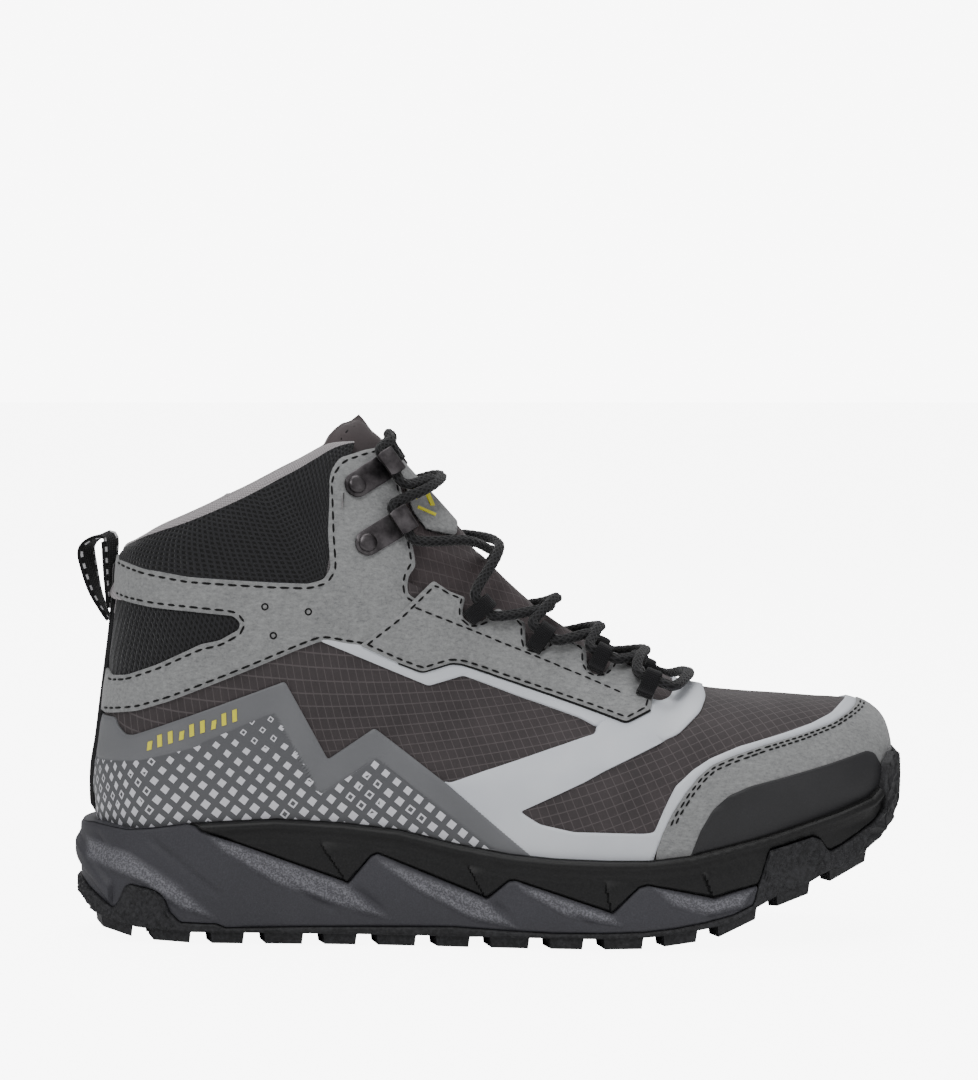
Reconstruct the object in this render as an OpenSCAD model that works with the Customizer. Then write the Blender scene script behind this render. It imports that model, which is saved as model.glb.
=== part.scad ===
// Right hiking boot: toe to +X, outer side to -Y, standing on Z = 0. Millimetres.

/* [Overall] */
// Length over the heel and the toe bumper; every outline scales with it
boot_length = 303.4; // [290:1:315]
// How far the sole stands out beyond the foot on each side
sole_flare = 5; // [4.5:0.5:6]
// Height of the tread blocks
lug_height = 4; // [3:0.5:4.5]
// Thickness of the removable footbed
footbed_thickness = 5; // [3:0.5:6]

/* [Lacing] */
// Diameter of the lace
lace_diameter = 3.8; // [3.4:0.1:4]
// Width of each webbing lace loop
loop_width = 7; // [5:0.5:8]
// Diameter of the rivet heads on the hooks
rivet_diameter = 7; // [6:0.5:8]
// Width of the pull loop at the heel
pull_width = 12; // [10:1:14]

/* [Detail] */
// Stations from the collar to the toe in the foot form
form_stations = 32; // [24:1:36]
// Points down each side of the foot form
form_side = 10; // [8:1:11]

/* [Hidden] */
$fn = 32;
k = boot_length / 303.4;
reach = 90;                 // half the length of the prisms that cut panels out of the form
far_back = -156;            // behind the heel
far_front = 156;            // in front of the toe
seam = 2.2;                 // the outer panels start this far above the underside of the foot
inner_seam = 4.2;           // and the layers inside them this far
form_end = 15.9;            // where the form stops, just short of the tip of the toe
sole_grip = 1.4;            // the sole is moulded round the upper this far outside the form
skin = [0, 1.2];            // each layer of the upper, inward from the form's surface
overlay = [-1.3, -0.1];
film = [-2.2, -1.4];
stay = [-2.6, -1.4];
stiffener = [1.3, 2.3];
lining = [2.6, 3.4];
padding = [1.3, 7.4];
collar_inside = [7.5, 8.4];
tongue_side = [3.8, 9.2];
tongue_middle = [2.2, 9.2];
tongue_patch = [1.1, 2.1];
gusset = [3.8, 4.6];

function clamp(v, lo, hi) = min(max(v, lo), hi);
function mix(a, b, t) = a + (b - a) * t;
function smooth(t) = let (c = clamp(t, 0, 1)) c * c * (3 - 2 * c);
function flip(list) = [for (i = [len(list) - 1:-1:0]) list[i]];
function unit(v) = norm(v) < 1e-9 ? [1, 0, 0] : v / norm(v);
// Rounds a width down to nothing over a depth of one
function dome(u, p) = pow(1 - pow(1 - clamp(u, 0, 1), p), 1 / p);
function slope_at(tab, i) = let (a = max(i - 1, 0), b = min(i + 1, len(tab) - 1))
    (tab[b][1] - tab[a][1]) / (tab[b][0] - tab[a][0]);
function row_of(tab, x, i = 0) = i >= len(tab) - 2 || x < tab[i + 1][0] ? i : row_of(tab, x, i + 1);
// Smooth curve through a table of [position, value] rows
function along(tab, x) = let (
    c = clamp(x, tab[0][0], tab[len(tab) - 1][0]), i = row_of(tab, c),
    h = tab[i + 1][0] - tab[i][0], t = (c - tab[i][0]) / h,
    t2 = t * t, t3 = t2 * t)
    (2 * t3 - 3 * t2 + 1) * tab[i][1] + (t3 - 2 * t2 + t) * h * slope_at(tab, i)
    + (3 * t2 - 2 * t3) * tab[i + 1][1] + (t3 - t2) * h * slope_at(tab, i + 1);
// Smooth curve through a list of points, one unit of s from each to the next
function through(pts, s) = let (
    i = clamp(floor(s), 0, len(pts) - 2), t = s - i,
    a = pts[max(i - 1, 0)], b = pts[i], c = pts[i + 1], d = pts[min(i + 2, len(pts) - 1)])
    (2 * b + (c - a) * t + (2 * a - 5 * b + 4 * c - d) * t * t + (3 * b - a - 3 * c + d) * t * t * t) / 2;

// ---- The foot form: side outline, widths and sections ----

// Front of the tongue, the instep and the toe, [x, z]
ridge = [[-100, 262], [-60, 212], [-43, 189.4], [-30, 174], [-13, 155], [0.4, 139], [12, 127.5], [24.4, 117.3],
    [42.5, 106], [60.7, 96.9], [67.3, 93.2], [79, 90.4], [92, 88.9], [107, 87.9], [121.5, 86.8], [132.5, 86],
    [141, 84.5], [152, 82]];
// Front of the toe at each height, [z, x]
toe_front = [[40, 142], [49, 145.4], [55, 147.4], [62, 148.3], [68.5, 148.2], [71.8, 147.8], [76.2, 146.4],
    [80.5, 143.8], [84.6, 138.8], [86, 134.5], [90, 133], [260, 133]];
// Back of the heel at each height, [z, x]
heel_back = [[30, -138], [37, -141.5], [43.3, -144.5], [50.7, -145.4], [61.8, -145.2], [72.9, -143.4],
    [87.7, -141.5], [110, -138.6], [124.7, -137.1], [137.6, -136.3], [145, -135], [160, -131.8], [200, -122.8],
    [260, -109]];
// Half widths, [x, width] for the foot and [z, width] for the shaft
foot_lateral = [[-152, 31], [-125, 32], [-105, 33], [-80, 34], [-50, 36], [-20, 40.5], [10, 46], [40, 50],
    [62, 50.5], [85, 49], [110, 46], [152, 44]];
foot_medial = [[-152, 31], [-125, 32], [-105, 32], [-80, 31], [-50, 31], [-20, 35], [10, 42], [40, 48],
    [65, 51], [85, 50], [110, 46], [152, 44]];
shaft_width = [[60, 34], [90, 36], [110, 37.5], [140, 39.5], [190, 40]];
centre_y = [[-152, 0], [0, 0], [60, 1], [110, 3], [150, 6]];
// How deep and how full the crown over the instep is, [x, depth] and [x, power]
crown_depth = [[-43, 72], [0, 72], [40, 60], [70, 46], [100, 42], [150, 40]];
crown_power = [[-43, 1.8], [0, 1.7], [40, 1.75], [70, 2.1], [100, 2.4], [150, 2.4]];
// Ends of each section through the form, [x, z], from the collar to the toe
front_ends = [[-58, 209.4], [-43, 189.4], [-30, 174], [-13, 155], [0.4, 139], [12, 127.5], [24.4, 117.3],
    [36, 110], [48, 102.9], [60.7, 96.9], [75, 91.2], [95, 88.7], [115, 87.3], [132.5, 86], [143.5, 80.5],
    [147, 71.8], [147.5, 62]];
back_ends = [[-122, 200], [-130.3, 163], [-135.2, 141], [-137, 119], [-139.5, 99], [-142.6, 74], [-144.8, 52],
    [-139, 37], [-100, 35], [-45, 34], [15, 27], [70, 26], [107, 34.5], [130, 42], [142, 48], [146, 54],
    [147.5, 62]];
// Underside of the foot, [x, z]
floor_curve = [[-139, 37], [-100, 35], [-45, 34], [15, 27], [70, 26], [107, 34.5], [130, 42], [142, 48],
    [152, 56]];

function half_width(x, z, side) = let (
    foot = along(side < 0 ? foot_lateral : foot_medial, x),
    up = smooth((z - 50) / 60) * (1 - smooth((x - 20) / 60)),
    base = mix(foot, along(shaft_width, z), up),
    rise = along(ridge, x + 0.5) - along(ridge, x - 0.5),
    depth = (along(ridge, x) - z) / sqrt(1 + rise * rise))
    base * dome(depth / along(crown_depth, x), along(crown_power, x))
    * dome((x - along(heel_back, z)) / 48, 2.4) * dome((along(toe_front, z) - x) / 62, 2.6);

// Point on the form: s runs from the collar to the toe, u from the ridge (0) to the
// sole (-1 outer side, 1 inner side)
function form_at(s, u) = let (
    side = u < 0 ? -1 : 1, t = (1 - cos(180 * abs(u))) / 2,
    f = through(front_ends, s), b = through(back_ends, s),
    x = mix(f[0], b[0], t), z = mix(f[1], b[1], t))
    [x, along(centre_y, x) + side * (u == 0 ? 0 : half_width(x, z, side)), z];
function normal_at(s, u) = let (d = 0.06)
    unit(cross(form_at(s + d, u) - form_at(s - d, u), form_at(s, u + d) - form_at(s, u - d)));
function over_form(s, u, out) = k * form_at(s, u) + out * normal_at(s, u);

// Each ring runs down the outer side and back up the inner side
base_grid = [for (i = [0:form_stations]) let (s = i / form_stations * form_end)
    [for (j = [0:2 * form_side]) form_at(s, j <= form_side ? -j / form_side : (2 * form_side + 1 - j) / form_side)]];
function grid_normal(i, j) = let (
    n = len(base_grid) - 1, r = len(base_grid[0]),
    a = base_grid[min(i + 1, n)][j] - base_grid[max(i - 1, 0)][j],
    b = base_grid[i][(j + 1) % r] - base_grid[i][(j + r - 1) % r])
    i == n ? [1, 0, 0] : unit(cross(b, a));
base_normals = [for (i = [0:len(base_grid) - 1]) [for (j = [0:len(base_grid[0]) - 1]) grid_normal(i, j)]];

// Closed surface through rings of the same length
module tube_of(rings) {
    n = len(rings) - 1;
    r = len(rings[0]);
    polyhedron([for (ring = rings) each ring], concat(
        [[for (j = [0:r - 1]) j]],
        [for (i = [0:n - 1]) for (j = [0:r - 1]) let (a = i * r + j, b = i * r + (j + 1) % r) [a, a + r, b + r]],
        [for (i = [0:n - 1]) for (j = [0:r - 1]) let (a = i * r + j, b = i * r + (j + 1) % r) [a, b + r, b]],
        [[for (j = [r - 1:-1:0]) n * r + j]]));
}

// The boot-shaped solid, with its surface moved inward by a distance
module form(inward) {
    tube_of([for (i = [0:len(base_grid) - 1]) [for (j = [0:len(base_grid[0]) - 1])
        k * base_grid[i][j] - inward * base_normals[i][j]]]);
}

// ---- Side outlines, [x, z] ----

function floor_line(from_x, to_x, up, steps = 14) =
    [for (i = [0:steps]) let (x = mix(from_x, to_x, i / steps)) [x, along(floor_curve, x) + up]];

collar_line = [[far_back, 138], [-140, 137], [-124, 133.5], [-92.5, 130], [-65, 128.5], [-57, 130.5], [-55, 136],
    [-56, 160], [-56.5, 166], [-54.5, 170.5], [-50, 174], [-38, 177]];
collar_top = [[far_back, 141], [-133, 145], [-124, 150], [-108.5, 156], [-92.5, 163], [-77, 171], [-61.5, 179],
    [-54, 183], [-47.5, 182.5], [-42, 180], [-39, 179]];
padded_line = [[far_back, 138.2], [-140, 137.2], [-124, 133.7], [-92.5, 130.2], [-65, 128.7], [-60, 132],
    [-59, 138], [-59.5, 165]];
throat = [[-37.5, 172], [-36, 164], [-33, 152], [-31.5, 140], [-31.5, 132.5], [-22, 127.5], [-9, 113], [13, 103],
    [39, 93.5], [57, 86], [63, 85], [70, 88]];
vamp_seam = [[70, 88], [62, 79], [44, 70], [28, 62], [2, 52]];
heel_window = [[far_back, 124.5], [-135.5, 124.5], [-131.5, 123.5], [-121.5, 122], [-108.5, 121], [-92.5, 119.5],
    [-90, 117], [-90.5, 114.5], [-97.5, 110.5], [-104.5, 109], [-120, 101.5], [-131.5, 97], [-138.5, 96],
    [far_back, 96]];
heel_mesh_edge = [[far_back, 126.5], [-135, 126.5], [-121, 124], [-92, 121.5], [-88, 118], [-88.5, 113.5],
    [-96, 108.5], [-104, 107], [-120, 99.5], [-131, 95], [far_back, 94]];
ankle_edge = [[far_back, 140], [-136, 139.5], [-131.5, 138], [-124, 136], [-108.5, 133.5], [-92.5, 132.5],
    [-77, 131.5], [-65.5, 131], [-60, 132.5], [-57.5, 136.5], [-58.5, 148], [-59, 160], [-59.5, 167.5], [-58, 172],
    [-54.5, 176], [-46, 178.5], [-39.5, 179.5], [-36, 176.5], [-34, 172], [-33, 165], [-30.5, 157], [-29.5, 150],
    [-28.5, 145], [-27.5, 140.5], [-27, 136.5], [-29.5, 133], [-30, 129.5], [-29.5, 126.5], [-24, 123],
    [-25, 112], [-33, 105], [-47.5, 108], [-51.5, 108.5], [-58.5, 110], [-61.5, 110], [-69.5, 107], [-85, 100.5],
    [-116, 88], [-128, 84], [-140.5, 82], [far_back, 81.5]];
mountain_edge = [[far_back, 81], [-136.5, 81], [-135.5, 78], [-132.5, 75], [-129.5, 75], [-74, 95.5], [-58.5, 67],
    [-41.5, 78.5], [-16.5, 59.5], [16, 33.5]];
window_edge = [[-16.5, 59.5], [-14, 59], [35, 75], [38.5, 76], [39, 78.5], [43, 82], [52, 86], [58.5, 88],
    [62.5, 87], [66, 88], [68, 91], [67, 100]];
vamp_window = [[79, 100], [79, 90.5], [79.5, 88], [77, 83.5], [69, 76.5], [63, 73.5], [41, 63], [34.5, 59.5],
    [11.5, 49], [13.5, 47.5], [18.5, 44.5], [30.5, 42], [56, 41.5], [59.5, 42], [63, 50], [68, 57], [74, 62.5],
    [80.5, 66.5], [91, 70.5], [107, 74.5], [118, 77.5], [126, 80.5], [130.5, 83.5], [132.5, 86], [132.5, 100]];
toe_edge = [[137, 100], [137, 87], [135.5, 84], [131.5, 81.5], [125, 78.5], [114, 75.5], [99.5, 72], [88, 68.5],
    [80.5, 65.5], [75.5, 61.5], [70.5, 55.5], [66, 48.5], [63, 42.5], [59, 32.5]];
toe_film_edge = [[72.5, 35], [76, 42.5], [80.5, 50], [86.5, 55], [94, 58], [107, 61], [121.5, 64.5],
    [133, 67.5], [137, 68.5], [140, 67.5], [142.5, 63], [144, 58.5], [144.5, 55.5]];
stay_edge = [[-47, 108.5], [-33, 119.5], [-21, 131], [-15.5, 127], [-9.5, 124.5], [-10.5, 121], [-10.5, 117.5],
    [-7.5, 115], [-2.5, 116], [0.5, 119], [2.5, 120], [12.5, 114.5], [12.5, 110.5], [13, 106], [16, 104.5],
    [20, 106], [22, 109], [23.5, 110], [35, 104.5], [35.5, 98.5], [38, 95.5], [41.5, 95.5], [43.5, 97.5],
    [45.5, 101], [57.5, 95], [60, 89], [58.5, 83.5], [50, 79.5], [20, 90], [-10.5, 101], [-14, 101.5],
    [-24.5, 98.5], [-33, 102]];
tongue_edge = [[-44, 194], [-50, 190], [-51, 180], [-52, 172], [-50, 160], [-46, 140], [-36, 118], [-18, 102],
    [10, 88], [40, 78], [62, 74], [70, 80], [72, 100], [24, 130], [-30, 190]];
tongue_gap = [[-44, 194], [-46, 190], [-36, 181], [-32, 172], [-28, 160], [-25, 150], [-23.5, 138],
    [-24, 134], [-14, 128.5], [-2, 121], [16, 111], [36, 104.5], [50, 99], [58, 95.5], [63, 92], [66, 100],
    [24, 130], [-30, 190]];
patch_edge = [[-38, 190], [-34.5, 179.5], [-29.5, 166], [-27, 158], [-23, 154], [-14, 154], [-12, 170]];
gusset_edge = [[-46.5, 139], [-36.5, 117], [-18.5, 101], [10, 87], [40, 77], [61, 73], [58, 66], [36, 66],
    [6, 76], [-24, 92], [-46, 112], [-52, 134]];
heel_stripe = [[far_back, 45], [-120, 45], [-120, 146], [far_back, 146]];

// Top of the sole, the zigzag between its two foams and the top of the outsole, [x, z]
sole_top = [[-152, 42], [-145.8, 42.6], [-133.2, 41], [-123.9, 41.7], [-109.9, 43.8], [-77.3, 45.6], [-53.7, 44.4],
    [-32.9, 42.2], [-12.2, 37.4], [7.4, 34], [23.7, 32.6], [42.5, 32], [58.1, 32], [72.5, 33.7], [99.5, 40],
    [128.8, 48.5], [141, 52.5], [145, 56]];
zigzag = [[-109.9, 43.8], [-106.4, 42.9], [-104.4, 41], [-51.4, 22.6], [-42.9, 32.4], [-40.5, 33.4], [-1.2, 18],
    [7, 24.4], [9.3, 24.6], [44, 13.3], [54.1, 22.5], [57.2, 23.3], [80.6, 18.6], [97.4, 23]];
rubber_top = [[-151.5, 21.5], [-147.3, 18], [-137.9, 11.7], [-135.9, 13.3], [-133.2, 19.5], [-130.9, 20.7],
    [-120.8, 18.8], [-118.4, 16.4], [-116.1, 11], [-112.2, 7.4], [-98.9, 7], [-95.8, 5.6], [-69.3, 6.2],
    [-32.9, 6.8], [-12.2, 7.2], [7.4, 6.2], [23.7, 5.6], [41.1, 5.8], [55.7, 6.2], [66.7, 7.4], [77.7, 9.4],
    [87.9, 12], [95.6, 15.6], [97.4, 23]];
bumper_edge = [[97.4, 23], [101.4, 35.2], [117.1, 39.6], [120.1, 38.5], [122.3, 34.9], [124.1, 34.1],
    [128.8, 36.3], [141.3, 43.7], [145, 48]];
bumper_tip = [[145, 48], [146, 52.4], [145.7, 58.3], [146.4, 64.1], [149.3, 67.8], [150.8, 67.3], [151.7, 61.5],
    [151.7, 55.7], [150.1, 48.4], [147.9, 42.6], [145.7, 40.3]];
tread_curve = [[-152, 15], [-149.2, 14.1], [-145.8, 10.2], [-139.5, 7.8], [-128.5, 5.5], [-110, 4.2], [-60, 4],
    [0, 4], [50, 4], [70, 6], [87.7, 9.6], [95.9, 14.4], [104, 18.9], [115, 22.8], [121.5, 26.4], [130.3, 29.3],
    [140.6, 35.9], [145.7, 40.3]];
shank_edge = [[-95, 33.2], [-70, 32.8], [-45, 32.2], [-30, 30.6], [-15, 28.8], [-15, 27], [-30, 28.8],
    [-45, 30.4], [-70, 31], [-95, 31.4]];

// ---- Shapes that several parts share ----

module side_prism(edge, from_y = -reach, to_y = reach) {
    rotate([90, 0, 0]) translate([0, 0, -to_y]) linear_extrude(to_y - from_y) polygon(k * edge);
}

// A sheet of the upper: one layer over the form, inside a side outline
module panel(edge, layer, from_y = -reach, to_y = reach) {
    resize([0, 0, 0]) intersection() {
        difference() {
            form(layer[0]);
            form(layer[1]);
        }
        side_prism(edge, from_y, to_y);
    }
}

module panel_with_hole(edge, hole, layer, from_y, to_y) {
    resize([0, 0, 0]) difference() {
        intersection() {
            difference() {
                form(layer[0]);
                form(layer[1]);
            }
            side_prism(edge, from_y, to_y);
        }
        side_prism(hole, from_y - 1, to_y + 1);
    }
}

// Half width of a plan that follows the foot, wider by grow, between its back and its front
function plan_half(x, side, grow, back, front) = (along(side < 0 ? foot_lateral : foot_medial, x) + grow)
    * dome((x - back) / 50, 2.4) * dome((front - x) / 64, 2.6);
plan_steps = 28;
function plan(grow, back, front) = let (
    xs = [for (i = [0:plan_steps]) (front + back) / 2 - ((front - back) / 2 - 0.1) * cos(180 * i / plan_steps)])
    concat([for (x = xs) [x, along(centre_y, x) - plan_half(x, -1, grow, back, front)]],
        [for (x = flip(xs)) [x, along(centre_y, x) + plan_half(x, 1, grow, back, front)]]);

function sole_half(x, side) = plan_half(x, side, sole_flare, -151.7, 151.7);
function sole_edge(x, side) = along(centre_y, x) + side * sole_half(x, side);

module sole_slice(edge) {
    intersection() {
        translate([0, 0, -10]) linear_extrude(120) polygon(k * plan(sole_flare, -151.7, 151.7));
        side_prism(edge);
    }
}

// Direction along the form towards the toe
function toeward(s, u) = let (n = normal_at(s, u))
    unit(cross(cross(n, form_at(s + 0.1, u) - form_at(s - 0.1, u)), n));

// Places its children on the form, with Z outward, X towards the toe, turned about Z
module on_form(s, u, out, turn = 0) {
    n = normal_at(s, u);
    x = toeward(s, u);
    y = cross(n, x);
    p = over_form(s, u, out);
    multmatrix([[x[0], y[0], n[0], p[0]], [x[1], y[1], n[1], p[1]], [x[2], y[2], n[2], p[2]]])
        rotate([0, 0, turn]) children();
}

// ---- Sole ----

lug_rows = 13;
lug_pitch = 20.5;
lug_root = 0.8;
lug_draft = 0.9;
function tread_z(x) = along(tread_curve, clamp(x, -150, 145));

// A tread block under a convex plan outline; it follows the curve of the tread
module lug(outline) {
    centre = [for (a = [0:1]) [for (p = outline) p[a]] * [for (p = outline) 1] / len(outline)];
    tube_of(k * [
        [for (p = outline) let (q = mix(p, centre, lug_draft / norm(p - centre))) 
            [q[0], q[1], max(0, tread_z(q[0]) - lug_height)]],
        [for (p = outline) [p[0], p[1], tread_z(p[0]) + lug_root]]]);
}

module edge_lugs(side) {
    for (i = [0:lug_rows])
        let (x = -136 + i * lug_pitch, w = 6.2 + (i % 2), in = 15 + 3 * (i % 2), a = min(x + w, 143), b = x - w,
            outline = [[b, sole_edge(b, side) - side * 0.8], [a, sole_edge(a, side) - side * 0.8],
                [a - 5, sole_edge(a, side) - side * in], [b - 3, sole_edge(b, side) - side * (in - 2)]])
        lug(side < 0 ? outline : flip(outline));
}

module arrow_lugs(side) {
    for (i = [0:10])
        let (x = -118 + i * 23, y = along(centre_y, x) + side, w = 0.5 * sole_half(x, side) - 4,
            outline = [[x - 4, y], [x + 6, y], [x - 1, y + side * w], [x - 9, y + side * w]])
        lug(side > 0 ? outline : flip(outline));
}

module outsole() {
    color("#26262a") resize([0, 0, 0]) difference() {
        union() {
            sole_slice(concat(rubber_top, [for (i = [1:len(bumper_edge) - 2]) bumper_edge[i]], bumper_tip,
                flip(tread_curve)));
            for (side = [-1, 1]) {
                edge_lugs(side);
                arrow_lugs(side);
            }
        }
        form(-sole_grip);
    }
}

module midsole_lower() {
    heel_top = [for (p = sole_top) if (p[0] < -110) p];
    color("#4d4e56") resize([0, 0, 0]) difference() {
        sole_slice(concat(heel_top, zigzag, flip([for (i = [0:len(rubber_top) - 2]) rubber_top[i]])));
        form(-sole_grip);
        side_prism(shank_edge, -12, 12);
    }
}

module midsole_frame() {
    top = [for (p = sole_top) if (p[0] > -110) p];
    color("#1e1e20") resize([0, 0, 0]) difference() {
        sole_slice(concat(top, flip(bumper_edge), flip([for (i = [1:len(zigzag) - 2]) zigzag[i]])));
        form(-sole_grip);
        side_prism(shank_edge, -12, 12);
    }
}

module shank() {
    color("#b9bcc0") side_prism(shank_edge, -12, 12);
}

module insole_board() {
    color("#c9b28a") resize([0, 0, 0]) intersection() {
        form(-sole_grip + 0.05);
        side_prism(concat(floor_line(far_back, far_front, -8), floor_line(far_front, far_back, seam - 0.7)));
    }
}

module footbed() {
    color("#6f7275") resize([0, 0, 0]) intersection() {
        linear_extrude(120) polygon(k * plan(-6, -135, 139));
        side_prism(concat(floor_line(-150, far_front, seam - 0.3),
            floor_line(far_front, -150, seam - 0.3 + footbed_thickness)));
    }
}

// ---- Upper ----

module heel_counter() {
    color("#8f8577") panel(concat([[far_back, 92], [-135, 92], [-110, 84], [-92, 66]],
        floor_line(-82, far_back, inner_seam)), stiffener);
}

module toe_puff() {
    color("#8f8577") panel(concat([[110, 100], [far_front, 100]], floor_line(far_front, 112, inner_seam), [[101, 66]]),
        stiffener);
}

module bootie_lining() {
    color("#7d7a78") panel(concat(collar_line, throat, [[69.5, 96], [69.5, 110], [far_front, 110]],
        floor_line(far_front, far_back, inner_seam)), lining);
}

module collar_foam() {
    color("#d8cfa8") panel(concat(padded_line, [[-60, 179.5]], flip([for (i = [0:5]) collar_top[i] + [0, 0.8]])),
        padding);
}

module collar_lining() {
    color("#a9a4a6") panel(concat(padded_line, [[-60, 182.8]], flip([for (i = [0:5]) collar_top[i] + [0, 2.2]])),
        collar_inside);
}

module collar_mesh() {
    color("#1a1a1c") panel(concat(collar_line, flip(collar_top)), skin);
}

module heel_mesh() {
    color("#1a1a1c") panel(heel_mesh_edge, skin);
}

module vamp() {
    color("#4f494a") panel(concat(vamp_seam, floor_line(2, far_front, seam), [[far_front, 110], [69.5, 110],
        [69.5, 96]]), skin);
}

module quarter(from_y, to_y) {
    color("#4f494a") panel_with_hole(concat(collar_line, throat, [for (i = [1:4]) vamp_seam[i]],
        floor_line(2, far_back, seam)), heel_mesh_edge, skin, from_y, to_y);
}

module quarter_lateral() quarter(-reach, 0);
module quarter_medial() quarter(0, reach);

module white_overlay() {
    color("#dfe3e8") panel(concat(window_edge, vamp_window, toe_edge, floor_line(58, 16, seam, 4), [[16, 33.5]]),
        overlay);
}

module toe_cap() {
    color("#8a8b8b") panel(concat([[far_front, 100]], toe_edge, floor_line(58, far_front, seam)), overlay);
}

module heel_film(from_y, to_y) {
    color("#6e6f72") panel(concat(mountain_edge, floor_line(16, far_back, seam)), overlay, from_y, to_y);
}

module heel_film_lateral() heel_film(-reach, 0);
module heel_film_medial() heel_film(0, reach);

module toe_film(from_y, to_y) {
    color("#3a3a3c") panel(concat(toe_film_edge, flip([for (p = sole_top) if (p[0] > 72 && p[0] < 142)
        p + [0, 1]])), film, from_y, to_y);
}

module toe_film_lateral() toe_film(-reach, 0);
module toe_film_medial() toe_film(0, reach);

module ankle_overlay(from_y, to_y) {
    color("#8a8b8b") panel_with_hole(ankle_edge, heel_window, overlay, from_y, to_y);
}

module ankle_overlay_lateral() ankle_overlay(-reach, 0);
module ankle_overlay_medial() ankle_overlay(0, reach);
module lace_stay_lateral() color("#8a8b8b") panel(stay_edge, stay, -reach, 0);
module lace_stay_medial() color("#8a8b8b") panel(stay_edge, stay, 0, reach);
module heel_piping() color("#1e1e20") panel(heel_stripe, stay, -4.5, 4.5);

// ---- Tongue ----

module tongue() {
    color("#6d6163") resize([0, 0, 0]) difference() {
        union() {
            intersection() {
                form(tongue_side[0]);
                side_prism(tongue_edge);
            }
            intersection() {
                form(tongue_middle[0]);
                side_prism(tongue_gap);
            }
        }
        form(tongue_middle[1]);
    }
}

module tongue_badge() color("#9a9b9b") panel(patch_edge, tongue_patch);
module gusset_lateral() color("#2c2c2e") panel(gusset_edge, gusset, -reach, 0);
module gusset_medial() color("#2c2c2e") panel(gusset_edge, gusset, 0, reach);

// ---- Lacing ----

// Places along the form, [s, u]: hooks and then loops on each side, from the collar to the toe
hook_places = [[2.04, 0.242], [2.96, 0.3]];
loop_places = [[5.1, 0.215], [6.45, 0.165], [7.95, 0.14], [9.3, 0.17]];
loop_gap = 0.85;
loop_wall = 0.9;
loop_lift = 2.7 + lace_diameter / 2 + loop_gap + loop_wall;   // centre of a loop above the form

module lace_loops() {
    color("#202022") for (side = [-1, 1], place = loop_places)
        on_form(place[0], side * place[1], loop_lift)
            translate([-loop_width / 2, 0, 0]) rotate([0, 90, 0]) difference() {
                cylinder(h = loop_width, r = lace_diameter / 2 + loop_gap + loop_wall);
                translate([0, 0, -1]) cylinder(h = loop_width + 2, r = lace_diameter / 2 + loop_gap);
            }
}

hook_base = 1.1;            // thickness of the plate
hook_room = 5.2;              // height of the space for the lace
hook_size = 9.6;
hook_out = 1.6;             // underside of the plate above the form
rivet_x = -7.5;             // from the middle of the plate, away from the throat
hook_x = 10.2;              // closed side of the hook, towards the throat

// Plate under the rivet, and a hook that is open on the side away from the throat
module lace_hooks() {
    color("#4b4647") for (side = [-1, 1], place = hook_places)
        on_form(place[0], side * place[1], hook_out, -90 * side) {
            difference() {
                linear_extrude(hook_base) hull() {
                    translate([rivet_x, 0]) circle(r = 4.7);
                    translate([hook_x - 4, -hook_size / 2]) square([5, hook_size]);
                }
                translate([rivet_x, 0, -1]) cylinder(h = 4, r = 1.6);
            }
            translate([hook_x, -hook_size / 2, hook_base]) cube([1, hook_size, hook_room]);
            translate([hook_x - 7, -hook_size / 2, hook_base + hook_room]) cube([8, hook_size, 1.1]);
        }
}

module hook_rivets() {
    color("#5a5658") for (side = [-1, 1], place = hook_places)
        on_form(place[0], side * place[1], hook_out, -90 * side) translate([rivet_x, 0, 0]) {
            cylinder(h = hook_base + 0.05, r = 1.55);
            translate([0, 0, hook_base + 0.05]) cylinder(h = 1.3, r = rivet_diameter / 2);
        }
}

// The lace's route is a list of [s, u, height above the form, distance towards the toe].
// Each half starts at the front bar and goes up the throat, through a loop or hook on one
// side and then on the other.
lace_low = 1.3;             // height of the lower strand where two cross
lace_high = 5.4;
hook_lace = 5.9;            // height of the lace in a hook
hook_stops = [[2.04, 0.193], [2.96, 0.258]];
function stop(i) = i < 4 ? loop_places[3 - i] : hook_stops[5 - i];
function stop_height(i) = i < 4 ? loop_lift : hook_lace;
function stop_reach(i) = i < 4 ? 0.66 : 0.34;
function pass_stop(i, side) = [for (d = [1, 0, -1]) i < 4
    ? [stop(i)[0], side * stop(i)[1], stop_height(i), d * (i == 0 && d > 0 ? 8.2 : 5.6)]
    : [stop(i)[0] + d * stop_reach(i), side * stop(i)[1], stop_height(i), 0]];
function cross_to(i, side, low) = let (
    a = stop(i)[0] - stop_reach(i), b = stop(i + 1)[0] + stop_reach(i + 1),
    p = side * stop(i)[1], q = -side * stop(i + 1)[1])
    [for (t = [0.25, 0.5, 0.75]) [mix(a, b, t), t == 0.5 ? 0 : mix(p, q, t),
        t == 0.5 ? (low ? lace_low : lace_high) : (low ? 4.7 : 5.8), 0]];
function lace_half(start) = concat(
    [for (i = [0:5]) let (side = start * (i % 2 == 0 ? 1 : -1))
        each concat(pass_stop(i, side), i < 5 ? cross_to(i, side, (i % 2 == 0) == (start > 0)) : [])],
    [for (p = [[1.58, 0.13, 5.5], [1.42, 0.09, 3.4], [1.6, 0.085, 1.4], [1.95, 0.1, 1.2]])
        [p[0], -start * p[1], p[2], 0]]);
lace_bar = [[9.86, -0.09, 4.8, 0], [9.88, 0, 4.2, 0], [9.86, 0.09, 4.8, 0]];
lace_route = concat(flip(lace_half(-1)), lace_bar, lace_half(1));
lace_sides = 8;

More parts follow.
